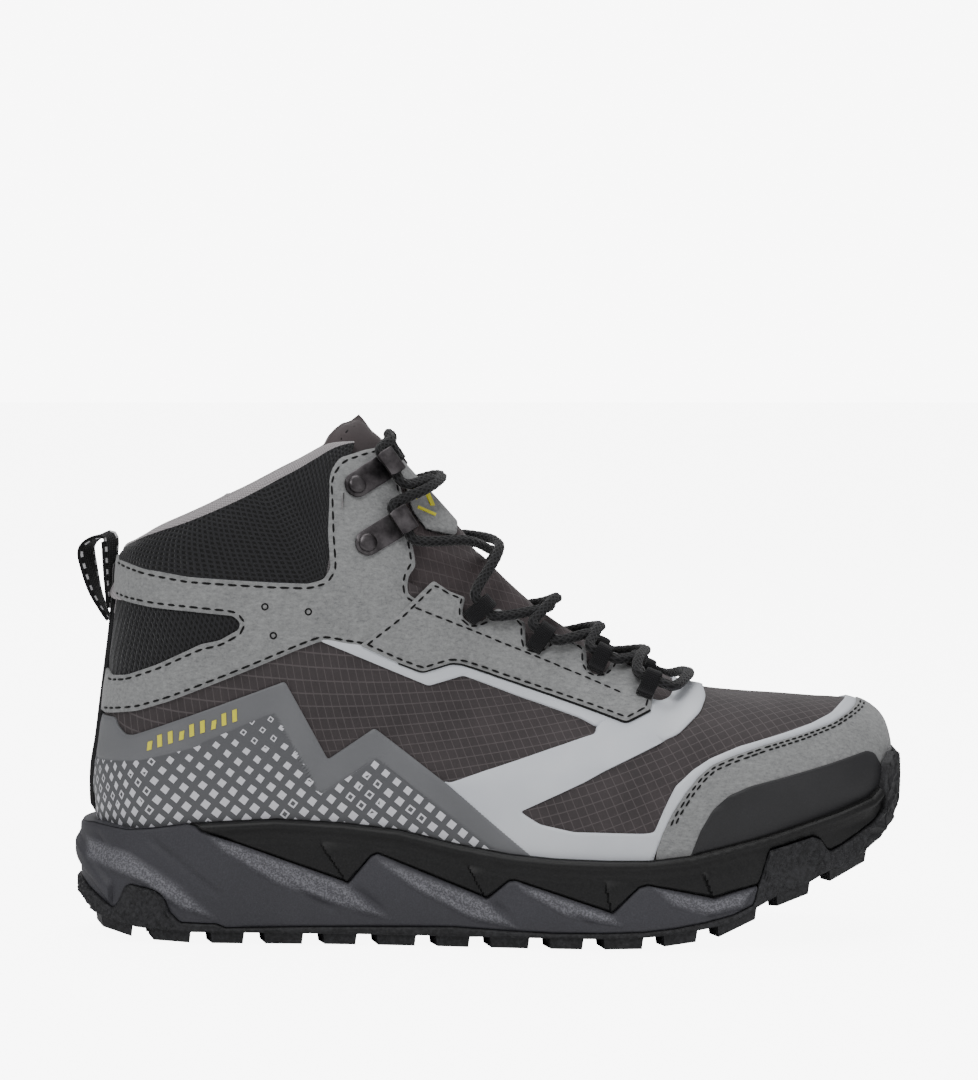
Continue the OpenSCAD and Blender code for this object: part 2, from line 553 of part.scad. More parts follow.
module lace() {
    path = [for (p = lace_route) over_form(p[0], p[1], p[2]) + p[3] * toeward(p[0], p[1])];
    last = len(path) - 1;
    color("#2b2b2c") tube_of([for (i = [0:last]) let (
        d = unit(path[min(i + 1, last)] - path[max(i - 1, 0)]),
        a = unit(cross(d, normal_at(lace_route[i][0], lace_route[i][1]))), b = cross(d, a))
        [for (n = [0:lace_sides - 1]) let (t = 360 * n / lace_sides)
            path[i] + lace_diameter / 2 * (cos(t) * a + sin(t) * b)]]);
}

// ---- Pull loop ----

pull_outside = [[-140.8, 113.5], [-144.6, 120], [-147.8, 128.5], [-149.8, 141], [-147.7, 145], [-143, 147.5],
    [-140.5, 149], [-139.4, 146], [-139.6, 136.5], [-139.8, 126], [-140.3, 119]];
pull_hole = [[-141.6, 120], [-143.8, 123.5], [-146.3, 129.5], [-148.2, 140.5], [-146.4, 143.6], [-142.3, 145.6],
    [-141.2, 145.6], [-141, 137], [-141.2, 127]];

module pull_loop() {
    color("#232325") difference() {
        side_prism(pull_outside, -pull_width / 2, pull_width / 2);
        side_prism(pull_hole, -pull_width / 2 - 1, pull_width / 2 + 1);
    }
}

outsole();
midsole_lower();
midsole_frame();
shank();
insole_board();
footbed();
heel_counter();
toe_puff();
bootie_lining();
collar_foam();
collar_lining();
collar_mesh();
heel_mesh();
vamp();
quarter_lateral();
quarter_medial();
white_overlay();
toe_cap();
heel_film_lateral();
heel_film_medial();
toe_film_lateral();
toe_film_medial();
ankle_overlay_lateral();
ankle_overlay_medial();
lace_stay_lateral();
lace_stay_medial();
heel_piping();
tongue();
tongue_badge();
gusset_lateral();
gusset_medial();
lace_loops();
lace_hooks();
hook_rivets();
lace();
pull_loop();
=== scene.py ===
"""Right hiking boot: the looks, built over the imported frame. The shape functions work in millimetres."""

import math

import bmesh
import bpy
import numpy as np
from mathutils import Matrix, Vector
from mathutils.geometry import delaunay_2d_cdt


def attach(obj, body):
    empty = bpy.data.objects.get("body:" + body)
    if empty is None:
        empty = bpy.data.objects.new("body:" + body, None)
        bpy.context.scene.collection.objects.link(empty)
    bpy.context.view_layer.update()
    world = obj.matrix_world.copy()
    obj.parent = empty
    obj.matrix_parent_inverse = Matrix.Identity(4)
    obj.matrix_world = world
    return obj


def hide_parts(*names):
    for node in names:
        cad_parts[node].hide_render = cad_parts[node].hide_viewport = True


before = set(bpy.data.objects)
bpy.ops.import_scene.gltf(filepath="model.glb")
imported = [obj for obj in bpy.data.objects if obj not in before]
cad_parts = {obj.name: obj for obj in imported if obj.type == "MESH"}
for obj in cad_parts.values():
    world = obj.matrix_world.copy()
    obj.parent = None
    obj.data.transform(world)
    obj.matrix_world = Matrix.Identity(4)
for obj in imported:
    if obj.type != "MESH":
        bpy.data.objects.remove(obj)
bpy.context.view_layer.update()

MM = 0.001
SIDES = ((-1, "lateral"), (1, "medial"))

# ---------------------------------------------------------------- camera, light and floor

VIEW_WIDTH = 0.3619        # metres across the picture at the boot
VIEW_MIDDLE = (0.0, 0.0, 0.1449)
ELEVATION = math.radians(3.0)
LENS = 150.0
BACKDROP = 8.5             # brightness of the backdrop as it is seen
FLOOR_GLOW = 7.4


def make_camera():
    height = VIEW_WIDTH * 1080 / 978
    distance = LENS / 36.0 * height
    cam = bpy.data.cameras.new("camera")
    cam.lens = LENS
    cam.clip_end = 50
    obj = bpy.data.objects.new("camera", cam)
    bpy.context.collection.objects.link(obj)
    back = Vector((0, -math.cos(ELEVATION), math.sin(ELEVATION)))
    obj.location = Vector(VIEW_MIDDLE) + back * distance
    obj.rotation_euler = (math.pi / 2 - ELEVATION, 0, 0)
    bpy.context.scene.camera = obj


def area_light(name, place, size, power, target=(0, 0, 0.08)):
    data = bpy.data.lights.new(name, "AREA")
    data.shape = "DISK"
    data.size = size
    data.energy = power
    obj = bpy.data.objects.new(name, data)
    obj.location = place
    obj.rotation_euler = (Vector(target) - Vector(place)).to_track_quat("-Z", "Y").to_euler()
    bpy.context.collection.objects.link(obj)


def make_studio():
    area_light("key", (-0.7, -1.5, 1.9), 1.1, 23)
    area_light("fill", (1.5, -1.5, 0.8), 1.6, 6)
    area_light("top", (0.1, 0.4, 2.0), 1.4, 17)
    area_light("back", (-0.6, 1.7, 1.2), 1.6, 7)
    world = bpy.data.worlds.new("studio")
    world.use_nodes = True
    nodes, links = world.node_tree.nodes, world.node_tree.links
    lit = nodes["Background"]
    lit.inputs["Color"].default_value = (0.95, 0.95, 0.96, 1)
    lit.inputs["Strength"].default_value = 0.3
    seen = nodes.new("ShaderNodeBackground")
    seen.inputs["Color"].default_value = (1, 1, 1, 1)
    seen.inputs["Strength"].default_value = BACKDROP
    path = nodes.new("ShaderNodeLightPath")
    blend = nodes.new("ShaderNodeMixShader")
    links.new(path.outputs["Is Camera Ray"], blend.inputs[0])
    links.new(lit.outputs[0], blend.inputs[1])
    links.new(seen.outputs[0], blend.inputs[2])
    links.new(blend.outputs[0], nodes["World Output"].inputs["Surface"])
    bpy.context.scene.world = world
    mesh = bpy.data.meshes.new("floor")
    mesh.from_pydata([(-9, -9, -0.0005), (9, -9, -0.0005), (9, 9, -0.0005), (-9, 9, -0.0005)], [], [(0, 1, 2, 3)])
    floor = bpy.data.objects.new("floor", mesh)
    bpy.context.collection.objects.link(floor)
    mat = bpy.data.materials.new("floor")
    mat.use_nodes = True
    shader = mat.node_tree.nodes["Principled BSDF"]
    shader.inputs["Base Color"].default_value = (0.93, 0.93, 0.93, 1)
    shader.inputs["Roughness"].default_value = 0.75
    shader.inputs["Emission Color"].default_value = (1, 1, 1, 1)
    tree = mat.node_tree
    seen = tree.nodes.new("ShaderNodeLightPath")
    glow = tree.nodes.new("ShaderNodeMath")
    glow.operation = "MULTIPLY"
    tree.links.new(seen.outputs["Is Camera Ray"], glow.inputs[0])
    glow.inputs[1].default_value = FLOOR_GLOW
    tree.links.new(glow.outputs[0], shader.inputs["Emission Strength"])
    mesh.materials.append(mat)


make_camera()
make_studio()

# ---------------------------------------------------------------- the foot form

RIDGE = [[-100, 262], [-60, 212], [-43, 189.4], [-30, 174], [-13, 155], [0.4, 139], [12, 127.5], [24.4, 117.3],
         [42.5, 106], [60.7, 96.9], [67.3, 93.2], [79, 90.4], [92, 88.9], [107, 87.9], [121.5, 86.8], [132.5, 86],
         [141, 84.5], [152, 82]]
TOE_FRONT = [[40, 142], [49, 145.4], [55, 147.4], [62, 148.3], [68.5, 148.2], [71.8, 147.8], [76.2, 146.4],
             [80.5, 143.8], [84.6, 138.8], [86, 134.5], [90, 133], [260, 133]]
HEEL_BACK = [[30, -138], [37, -141.5], [43.3, -144.5], [50.7, -145.4], [61.8, -145.2], [72.9, -143.4],
             [87.7, -141.5], [110, -138.6], [124.7, -137.1], [137.6, -136.3], [145, -135], [160, -131.8],
             [200, -122.8], [260, -109]]
FOOT_LATERAL = [[-152, 31], [-125, 32], [-105, 33], [-80, 34], [-50, 36], [-20, 40.5], [10, 46], [40, 50],
                [62, 50.5], [85, 49], [110, 46], [152, 44]]
FOOT_MEDIAL = [[-152, 31], [-125, 32], [-105, 32], [-80, 31], [-50, 31], [-20, 35], [10, 42], [40, 48],
               [65, 51], [85, 50], [110, 46], [152, 44]]
SHAFT_WIDTH = [[60, 34], [90, 36], [110, 37.5], [140, 39.5], [190, 40]]
CENTRE_Y = [[-152, 0], [0, 0], [60, 1], [110, 3], [150, 6]]
CROWN_DEPTH = [[-43, 72], [0, 72], [40, 60], [70, 46], [100, 42], [150, 40]]
CROWN_POWER = [[-43, 1.8], [0, 1.7], [40, 1.75], [70, 2.1], [100, 2.4], [150, 2.4]]
FRONT_ENDS = [[-58, 209.4], [-43, 189.4], [-30, 174], [-13, 155], [0.4, 139], [12, 127.5], [24.4, 117.3],
              [36, 110], [48, 102.9], [60.7, 96.9], [75, 91.2], [95, 88.7], [115, 87.3], [132.5, 86], [143.5, 80.5],
              [147, 71.8], [147.5, 62]]
BACK_ENDS = [[-122, 200], [-130.3, 163], [-135.2, 141], [-137, 119], [-139.5, 99], [-142.6, 74], [-144.8, 52],
             [-139, 37], [-100, 35], [-45, 34], [15, 27], [70, 26], [107, 34.5], [130, 42], [142, 48], [146, 54],
             [147.5, 62]]
HEEL_WRAP = 1.05           # u runs on past 1 to this value round the back of the heel
HEEL_SECTIONS = 6.0        # for s up to here
LAST_SECTION = 15.9


def arr(x):
    return np.atleast_1d(np.asarray(x, float))


def smooth(t):
    c = np.clip(t, 0, 1)
    return c * c * (3 - 2 * c)


def dome(u, p):
    return (1 - (1 - np.clip(u, 0, 1)) ** p) ** (1 / p)


def unit(rows):
    """Each row of a list of vectors at length 1."""
    return rows / np.maximum(np.linalg.norm(rows, axis=1), 1e-9)[:, None]


def along(table, x):
    """Smooth curve through a table of [position, value] rows."""
    tab = np.asarray(table, float)
    c = np.clip(arr(x), tab[0, 0], tab[-1, 0])
    i = np.clip(np.searchsorted(tab[:, 0], c, side="right") - 1, 0, len(tab) - 2)
    lo = np.maximum(np.arange(len(tab)) - 1, 0)
    hi = np.minimum(np.arange(len(tab)) + 1, len(tab) - 1)
    slope = (tab[hi, 1] - tab[lo, 1]) / (tab[hi, 0] - tab[lo, 0])
    h = tab[i + 1, 0] - tab[i, 0]
    t = (c - tab[i, 0]) / h
    t2, t3 = t * t, t ** 3
    return ((2 * t3 - 3 * t2 + 1) * tab[i, 1] + (t3 - 2 * t2 + t) * h * slope[i]
            + (3 * t2 - 2 * t3) * tab[i + 1, 1] + (t3 - t2) * h * slope[i + 1])


def through(points, s):
    """Smooth curve through a list of points, one unit of s from each to the next."""
    pts = np.asarray(points, float)
    s = arr(s)
    i = np.clip(np.floor(s).astype(int), 0, len(pts) - 2)
    t = (s - i)[:, None]
    a, b = pts[np.maximum(i - 1, 0)], pts[i]
    c, d = pts[i + 1], pts[np.minimum(i + 2, len(pts) - 1)]
    return (2 * b + (c - a) * t + (2 * a - 5 * b + 4 * c - d) * t ** 2 + (3 * b - a - 3 * c + d) * t ** 3) / 2


def half_width(x, z, side):
    foot = np.where(side < 0, along(FOOT_LATERAL, x), along(FOOT_MEDIAL, x))
    up = smooth((z - 50) / 60) * (1 - smooth((x - 20) / 60))
    base = foot + (along(SHAFT_WIDTH, z) - foot) * up
    rise = along(RIDGE, x + 0.5) - along(RIDGE, x - 0.5)
    depth = (along(RIDGE, x) - z) / np.sqrt(1 + rise * rise)
    return (base * dome(depth / along(CROWN_DEPTH, x), along(CROWN_POWER, x))
            * dome((x - along(HEEL_BACK, z)) / 48, 2.4) * dome((along(TOE_FRONT, z) - x) / 62, 2.6))


def form_at(s, u):
    """Points on the form: s from the collar to the toe, u from the ridge (0) to the sole, outer side negative."""
    s, u = np.broadcast_arrays(arr(s), arr(u))
    side = np.where(u < 0, -1.0, 1.0)
    size = np.abs(u)
    wrap = np.clip((size - 1) / (HEEL_WRAP - 1), 0, 1)
    t = (1 - np.cos(math.pi * np.minimum(size, 1))) / 2
    f, b = through(FRONT_ENDS, s), through(BACK_ENDS, s)
    x = f[:, 0] + (b[:, 0] - f[:, 0]) * t
    z = f[:, 1] + (b[:, 1] - f[:, 1]) * t
    w = half_width(x, z, side) * smooth(size / 0.012)
    y = along(CENTRE_Y, x) + side * w * (1 - wrap)
    return np.stack([x - 0.4 * (1 - (1 - wrap) ** 2), y, z], 1)


def normal_at(s, u):
    s, u = np.broadcast_arrays(arr(s), arr(u))
    d = 0.05
    e = np.where(np.abs(u) > 0.93, 0.012, 0.03)
    du = form_at(s, np.clip(u + e, -HEEL_WRAP, HEEL_WRAP)) - form_at(s, np.clip(u - e, -HEEL_WRAP, HEEL_WRAP))
    ds = form_at(np.minimum(s + d, LAST_SECTION + 0.05), u) - form_at(np.maximum(s - d, 0), u)
    n = unit(np.cross(ds, du))
    back = (np.abs(u) > 1.0) & (s < HEEL_SECTIONS + 0.3)
    n[back, 1] *= ((HEEL_WRAP - np.abs(u[back])) / (HEEL_WRAP - 1))
    return unit(n)


def over_form(s, u, out):
    return form_at(s, u) + normal_at(s, u) * arr(out)[:, None]


SECTIONS = np.linspace(0, LAST_SECTION, 637)


def locate(points):
    """(s, u) of side-view points [x, z], with u not negative."""
    p = np.asarray(points, float)
    f, b = through(FRONT_ENDS, SECTIONS), through(BACK_ENDS, SECTIONS)
    d = b - f
    cross = d[None, :, 0] * (p[:, None, 1] - f[None, :, 1]) - d[None, :, 1] * (p[:, None, 0] - f[None, :, 0])
    t = ((p[:, None, 0] - f[None, :, 0]) * d[None, :, 0] + (p[:, None, 1] - f[None, :, 1]) * d[None, :, 1]) \
        / (d ** 2).sum(1)[None]
    out = np.zeros((len(p), 2))
    for i in range(len(p)):
        flips = np.nonzero(np.sign(cross[i, :-1]) != np.sign(cross[i, 1:]))[0]
        if len(flips) == 0:
            j = int(np.argmin(np.abs(cross[i])))
            s, tt = SECTIONS[j], t[i, j]
        else:
            off = np.maximum(0, np.maximum(-t[i, flips], t[i, flips] - 1))
            j = flips[int(np.argmin(off))]
            w = cross[i, j] / (cross[i, j] - cross[i, j + 1])
            s = SECTIONS[j] + w * (SECTIONS[j + 1] - SECTIONS[j])
            tt = t[i, j] + w * (t[i, j + 1] - t[i, j])
        u = math.acos(1 - 2 * min(max(tt, 0), 1)) / math.pi
        if tt > 0.999 and s < HEEL_SECTIONS:
            u = HEEL_WRAP
        out[i] = s, u
    return out


# ---------------------------------------------------------------- side outlines, [x, z]

FAR_BACK, FAR_FRONT = -156, 156
COLLAR_LINE = [[FAR_BACK, 138], [-140, 137], [-124, 133.5], [-92.5, 130], [-65, 128.5], [-57, 130.5], [-55, 136],
               [-56, 160], [-56.5, 166], [-54.5, 170.5], [-50, 174], [-38, 177]]
THROAT = [[-37.5, 172], [-36, 164], [-33, 152], [-31.5, 140], [-31.5, 132.5], [-22, 127.5], [-9, 113], [13, 103],
          [39, 93.5], [57, 86], [63, 85], [70, 88]]
VAMP_SEAM = [[70, 88], [62, 79], [44, 70], [28, 62], [2, 52]]
HEEL_WINDOW = [[FAR_BACK, 124.5], [-135.5, 124.5], [-131.5, 123.5], [-121.5, 122], [-108.5, 121], [-92.5, 119.5],
               [-90, 117], [-90.5, 114.5], [-97.5, 110.5], [-104.5, 109], [-120, 101.5], [-131.5, 97],
               [-138.5, 96], [FAR_BACK, 96]]
HEEL_MESH_EDGE = [[FAR_BACK, 126.5], [-135, 126.5], [-121, 124], [-92, 121.5], [-88, 118], [-88.5, 113.5],
                  [-96, 108.5], [-104, 107], [-120, 99.5], [-131, 95], [FAR_BACK, 94]]
ANKLE_EDGE = [[FAR_BACK, 140], [-136, 139.5], [-131.5, 138], [-124, 136], [-108.5, 133.5], [-92.5, 132.5],
              [-77, 131.5], [-65.5, 131], [-60, 132.5], [-57.5, 136.5], [-58.5, 148], [-59, 160], [-59.5, 167.5],
              [-58, 172], [-54.5, 176], [-46, 178.5], [-39.5, 179.5], [-36, 176.5], [-34, 172], [-33, 165],
              [-30.5, 157], [-29.5, 150], [-28.5, 145], [-27.5, 140.5], [-27, 136.5], [-29.5, 133], [-30, 129.5],
              [-29.5, 126.5], [-24, 123], [-25, 112], [-33, 105], [-47.5, 108], [-51.5, 108.5], [-58.5, 110],
              [-61.5, 110], [-69.5, 107], [-85, 100.5], [-116, 88], [-128, 84], [-140.5, 82], [FAR_BACK, 81.5]]
MOUNTAIN_EDGE = [[FAR_BACK, 81], [-136.5, 81], [-135.5, 78], [-132.5, 75], [-129.5, 75], [-74, 95.5], [-58.5, 67],
                 [-41.5, 78.5], [-16.5, 59.5], [16, 33.5]]
EMBOSSED_EDGE = [[-143.5, 65], [-127.5, 66], [-107, 71.5], [-78, 84], [-61.5, 54], [-41, 67.5], [-39.5, 66.5],
                 [0.5, 35.5]]
WINDOW_EDGE = [[-16.5, 59.5], [-14, 59], [35, 75], [38.5, 76], [39, 78.5], [43, 82], [52, 86], [58.5, 88],
               [62.5, 87], [66, 88], [68, 91], [67, 100]]
VAMP_WINDOW = [[79, 100], [79, 90.5], [79.5, 88], [77, 83.5], [69, 76.5], [63, 73.5], [41, 63], [34.5, 59.5],
               [11.5, 49], [13.5, 47.5], [18.5, 44.5], [30.5, 42], [56, 41.5], [59.5, 42], [63, 50], [68, 57],
               [74, 62.5], [80.5, 66.5], [91, 70.5], [107, 74.5], [118, 77.5], [126, 80.5], [130.5, 83.5],
               [132.5, 86], [132.5, 100]]
TOE_EDGE = [[137, 100], [137, 87], [135.5, 84], [131.5, 81.5], [125, 78.5], [114, 75.5], [99.5, 72], [88, 68.5],
            [80.5, 65.5], [75.5, 61.5], [70.5, 55.5], [66, 48.5], [63, 42.5], [59, 32.5]]
TOE_FILM_EDGE = [[72.5, 33.5], [76, 42.5], [80.5, 50], [86.5, 55], [94, 58], [107, 61], [121.5, 64.5],
                 [133, 67.5], [137, 68.5], [140, 67.5], [142.5, 63], [144, 58.5], [144.5, 55]]
STAY_TOP = [[-47, 108.5], [-33, 119.5], [-21, 131], [-15.5, 127], [-9.5, 124.5], [-10.5, 121], [-10.5, 117.5],
            [-7.5, 115], [-2.5, 116], [0.5, 119], [2.5, 120], [12.5, 114.5], [12.5, 110.5], [13, 106], [16, 104.5],
            [20, 106], [22, 109], [23.5, 110], [35, 104.5], [35.5, 98.5], [38, 95.5], [41.5, 95.5], [43.5, 97.5],
            [45.5, 101], [57.5, 95], [60, 89]]
STAY_LOW = [[58.5, 83.5], [50, 79.5], [20, 90], [-10.5, 101], [-14, 101.5], [-24.5, 98.5], [-33, 102]]
SOLE_TOP = [[-152, 42], [-145.8, 42.6], [-133.2, 41], [-123.9, 41.7], [-109.9, 43.8], [-77.3, 45.6], [-53.7, 44.4],
            [-32.9, 42.2], [-12.2, 37.4], [7.4, 34], [23.7, 32.6], [42.5, 32], [58.1, 32], [72.5, 33.7], [99.5, 40],
            [128.8, 48.5], [141, 52.5], [145, 56], [147, 60]]
ZIGZAG = [[-109.9, 43.8], [-106.4, 42.9], [-104.4, 41], [-51.4, 22.6], [-42.9, 32.4], [-40.5, 33.4], [-1.2, 18],
          [7, 24.4], [9.3, 24.6], [44, 13.3], [54.1, 22.5], [57.2, 23.3], [80.6, 18.6], [97.4, 23]]
RUBBER_TOP = [[-151.6, 21.5], [-147.3, 18], [-137.9, 11.7], [-135.9, 13.3], [-133.2, 19.5], [-130.9, 20.7],
              [-120.8, 18.8], [-118.4, 16.4], [-116.1, 11], [-112.2, 7.4], [-98.9, 7], [-95.8, 5.6], [-69.3, 6.2],
              [-32.9, 6.8], [-12.2, 7.2], [7.4, 6.2], [23.7, 5.6], [41.1, 5.8], [55.7, 6.2], [66.7, 7.4],
              [77.7, 9.4], [87.9, 12], [95.6, 15.6], [97.4, 23]]
BUMPER_EDGE = [[97.4, 23], [101.4, 35.2], [117.1, 39.6], [120.1, 38.5], [122.3, 34.9], [124.1, 34.1],
               [128.8, 36.3], [141.3, 43.7], [145, 48]]
TREAD_CURVE = [[-152, 15], [-149.2, 14.1], [-145.8, 10.2], [-139.5, 7.8], [-128.5, 5.5], [-110, 4.2], [-60, 4],
               [0, 4], [50, 4], [70, 6], [87.7, 9.6], [95.9, 14.4], [104, 18.9], [115, 22.8], [121.5, 26.4],
               [130.3, 29.3], [140.6, 35.9], [145.7, 40.3]]


def linear(table, x):
    tab = np.asarray(table, float)
    return np.interp(x, tab[:, 0], tab[:, 1])


def sole_line(from_x, to_x, below=4.0, steps=24):
    """Along the top of the sole, and a little below it."""
    return [[x, float(linear(SOLE_TOP, x)) - below] for x in np.linspace(from_x, to_x, steps)]


# ---------------------------------------------------------------- mesh helpers

def add_piece(name, verts, faces, material, body="shell", smooth_shade=True, uvs=None):
    """A mesh object in metres, riding a body, from points in millimetres."""
    mesh = bpy.data.meshes.new(name)
    mesh.from_pydata([tuple(v) for v in np.asarray(verts, float) * MM], [], [tuple(map(int, f)) for f in faces])
    mesh.update()
    if uvs is not None:
        layer = mesh.uv_layers.new(name="UVMap")
        loops = np.zeros(len(mesh.loops), dtype=np.int32)
        mesh.loops.foreach_get("vertex_index", loops)
        layer.data.foreach_set("uv", np.asarray(uvs, float)[loops].ravel())
    mesh.polygons.foreach_set("use_smooth", [smooth_shade] * len(mesh.polygons))
    mesh.materials.append(material)
    obj = bpy.data.objects.new(name, mesh)
    bpy.context.collection.objects.link(obj)
    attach(obj, body)
    return obj


def float_attribute(obj, name, values):
    attribute = obj.data.attributes.new(name, "FLOAT", "POINT")
    attribute.data.foreach_set("value", np.asarray(values, np.float32))


def face_outward(mesh):
    bm = bmesh.new()
    bm.from_mesh(mesh)
    bmesh.ops.recalc_face_normals(bm, faces=bm.faces)
    bm.to_mesh(mesh)
    bm.free()


def tube_faces(rows, count):
    """Faces of a closed tube: rows of count points each, with a cap on either end."""
    faces = []
    for i in range(rows - 1):
        for k in range(count):
            j = (k + 1) % count
            faces.append((i * count + k, i * count + j, (i + 1) * count + j, (i + 1) * count + k))
    return faces + [tuple(range(count))[::-1], tuple(range((rows - 1) * count, rows * count))]


def rounded(points, radius, closed=True):
    """The outline with each corner turned into a short curve."""
    pts = [np.asarray(p, float) for p in points]
    n = len(pts)
    out = []
    for i, p in enumerate(pts):
        if not closed and i in (0, n - 1):
            out.append(p)
            continue
        a, b = pts[i - 1], pts[(i + 1) % n]
        la, lb = np.linalg.norm(a - p), np.linalg.norm(b - p)
        r = min(radius, la * 0.45, lb * 0.45)
        p0, p1 = p + (a - p) / max(la, 1e-9) * r, p + (b - p) / max(lb, 1e-9) * r
        for t in (0, 0.25, 0.5, 0.75, 1):
            out.append((1 - t) ** 2 * p0 + 2 * t * (1 - t) * p + t * t * p1)
    return np.array(out)


def dense(points, step, closed=True):
    pts = np.asarray(points, float)
    out = []
    last = len(pts) if closed else len(pts) - 1
    for i in range(last):
        a, b = pts[i], pts[(i + 1) % len(pts)]
        n = max(1, math.ceil(np.linalg.norm(b - a) / step))
        out += [a + (b - a) * k / n for k in range(n)]
    if not closed:
        out.append(pts[-1])
    return np.array(out)


def inside(points, loop):
    x, y = points[:, 0][:, None], points[:, 1][:, None]
    a, b = loop, np.roll(loop, -1, axis=0)
    spans = (a[:, 1] > y) != (b[:, 1] > y)
    dy = np.where(np.abs(b[:, 1] - a[:, 1]) < 1e-12, 1e-12, b[:, 1] - a[:, 1])
    return (spans & (x < (b[:, 0] - a[:, 0]) * (y - a[:, 1]) / dy + a[:, 0])).sum(1) % 2 == 1


def nearest(points, samples):
    out = np.empty(len(points))
    for i in range(0, len(points), 500):
        d = points[i:i + 500, None] - samples[None]
        out[i:i + 500] = np.sqrt((d * d).sum(2).min(1))
    return out


def girth_uv(s, u):
    """Metres along the boot and down from the ridge, for weaves."""
    p = form_at(s, u)
    steps = 10
    total = np.zeros(len(s))
    prev = form_at(s, np.zeros(len(s)))
    for k in range(1, steps + 1):
        q = form_at(s, u * k / steps)
        total += np.linalg.norm(q - prev, axis=1)
        prev = q
    return np.stack([p[:, 0] - 0.25 * p[:, 2], np.sign(u) * total], 1) * MM


PLAN_SCALE = np.array([18.0, 110.0])     # rough millimetres per unit of s and of u
GRID_SCALE = np.array([19.0, 125.0])


def metric(s, u):
    d = 0.02
    a = np.linalg.norm(form_at(s + d, u) - form_at(s - d, u), axis=1) / (2 * d)
    b = np.linalg.norm(form_at(s, u + d) - form_at(s, np.maximum(u - d, 0)), axis=1) / (d + np.minimum(u, d))
    return np.maximum(a, 4), np.maximum(b, 30)


def leftward(line, tangent):
    """Steps of one millimetre to the left of a line in (s, u)."""
    scale = np.stack(metric(line[:, 0], line[:, 1]), 1)
    ahead = unit(tangent * scale)
    return np.stack([-ahead[:, 1], ahead[:, 0]], 1) / scale


def loop_sense(loop):
    nxt = np.roll(loop, -1, axis=0)
    return 1 if (loop[:, 0] * nxt[:, 1]).sum() > (nxt[:, 0] * loop[:, 1]).sum() else -1


def outline_rings(edge, radius, step=1.3):
    """The side outline in (s, u), and the steps of one millimetre to its inside."""
    loop = locate(dense(rounded(edge, radius), step))
    keep = np.linalg.norm((loop - np.roll(loop, 1, axis=0)) * PLAN_SCALE, axis=1) > 0.05
    loop = loop[keep]
    tangent = np.roll(loop, -1, axis=0) - np.roll(loop, 1, axis=0)
    return loop, leftward(loop, tangent) * loop_sense(loop)


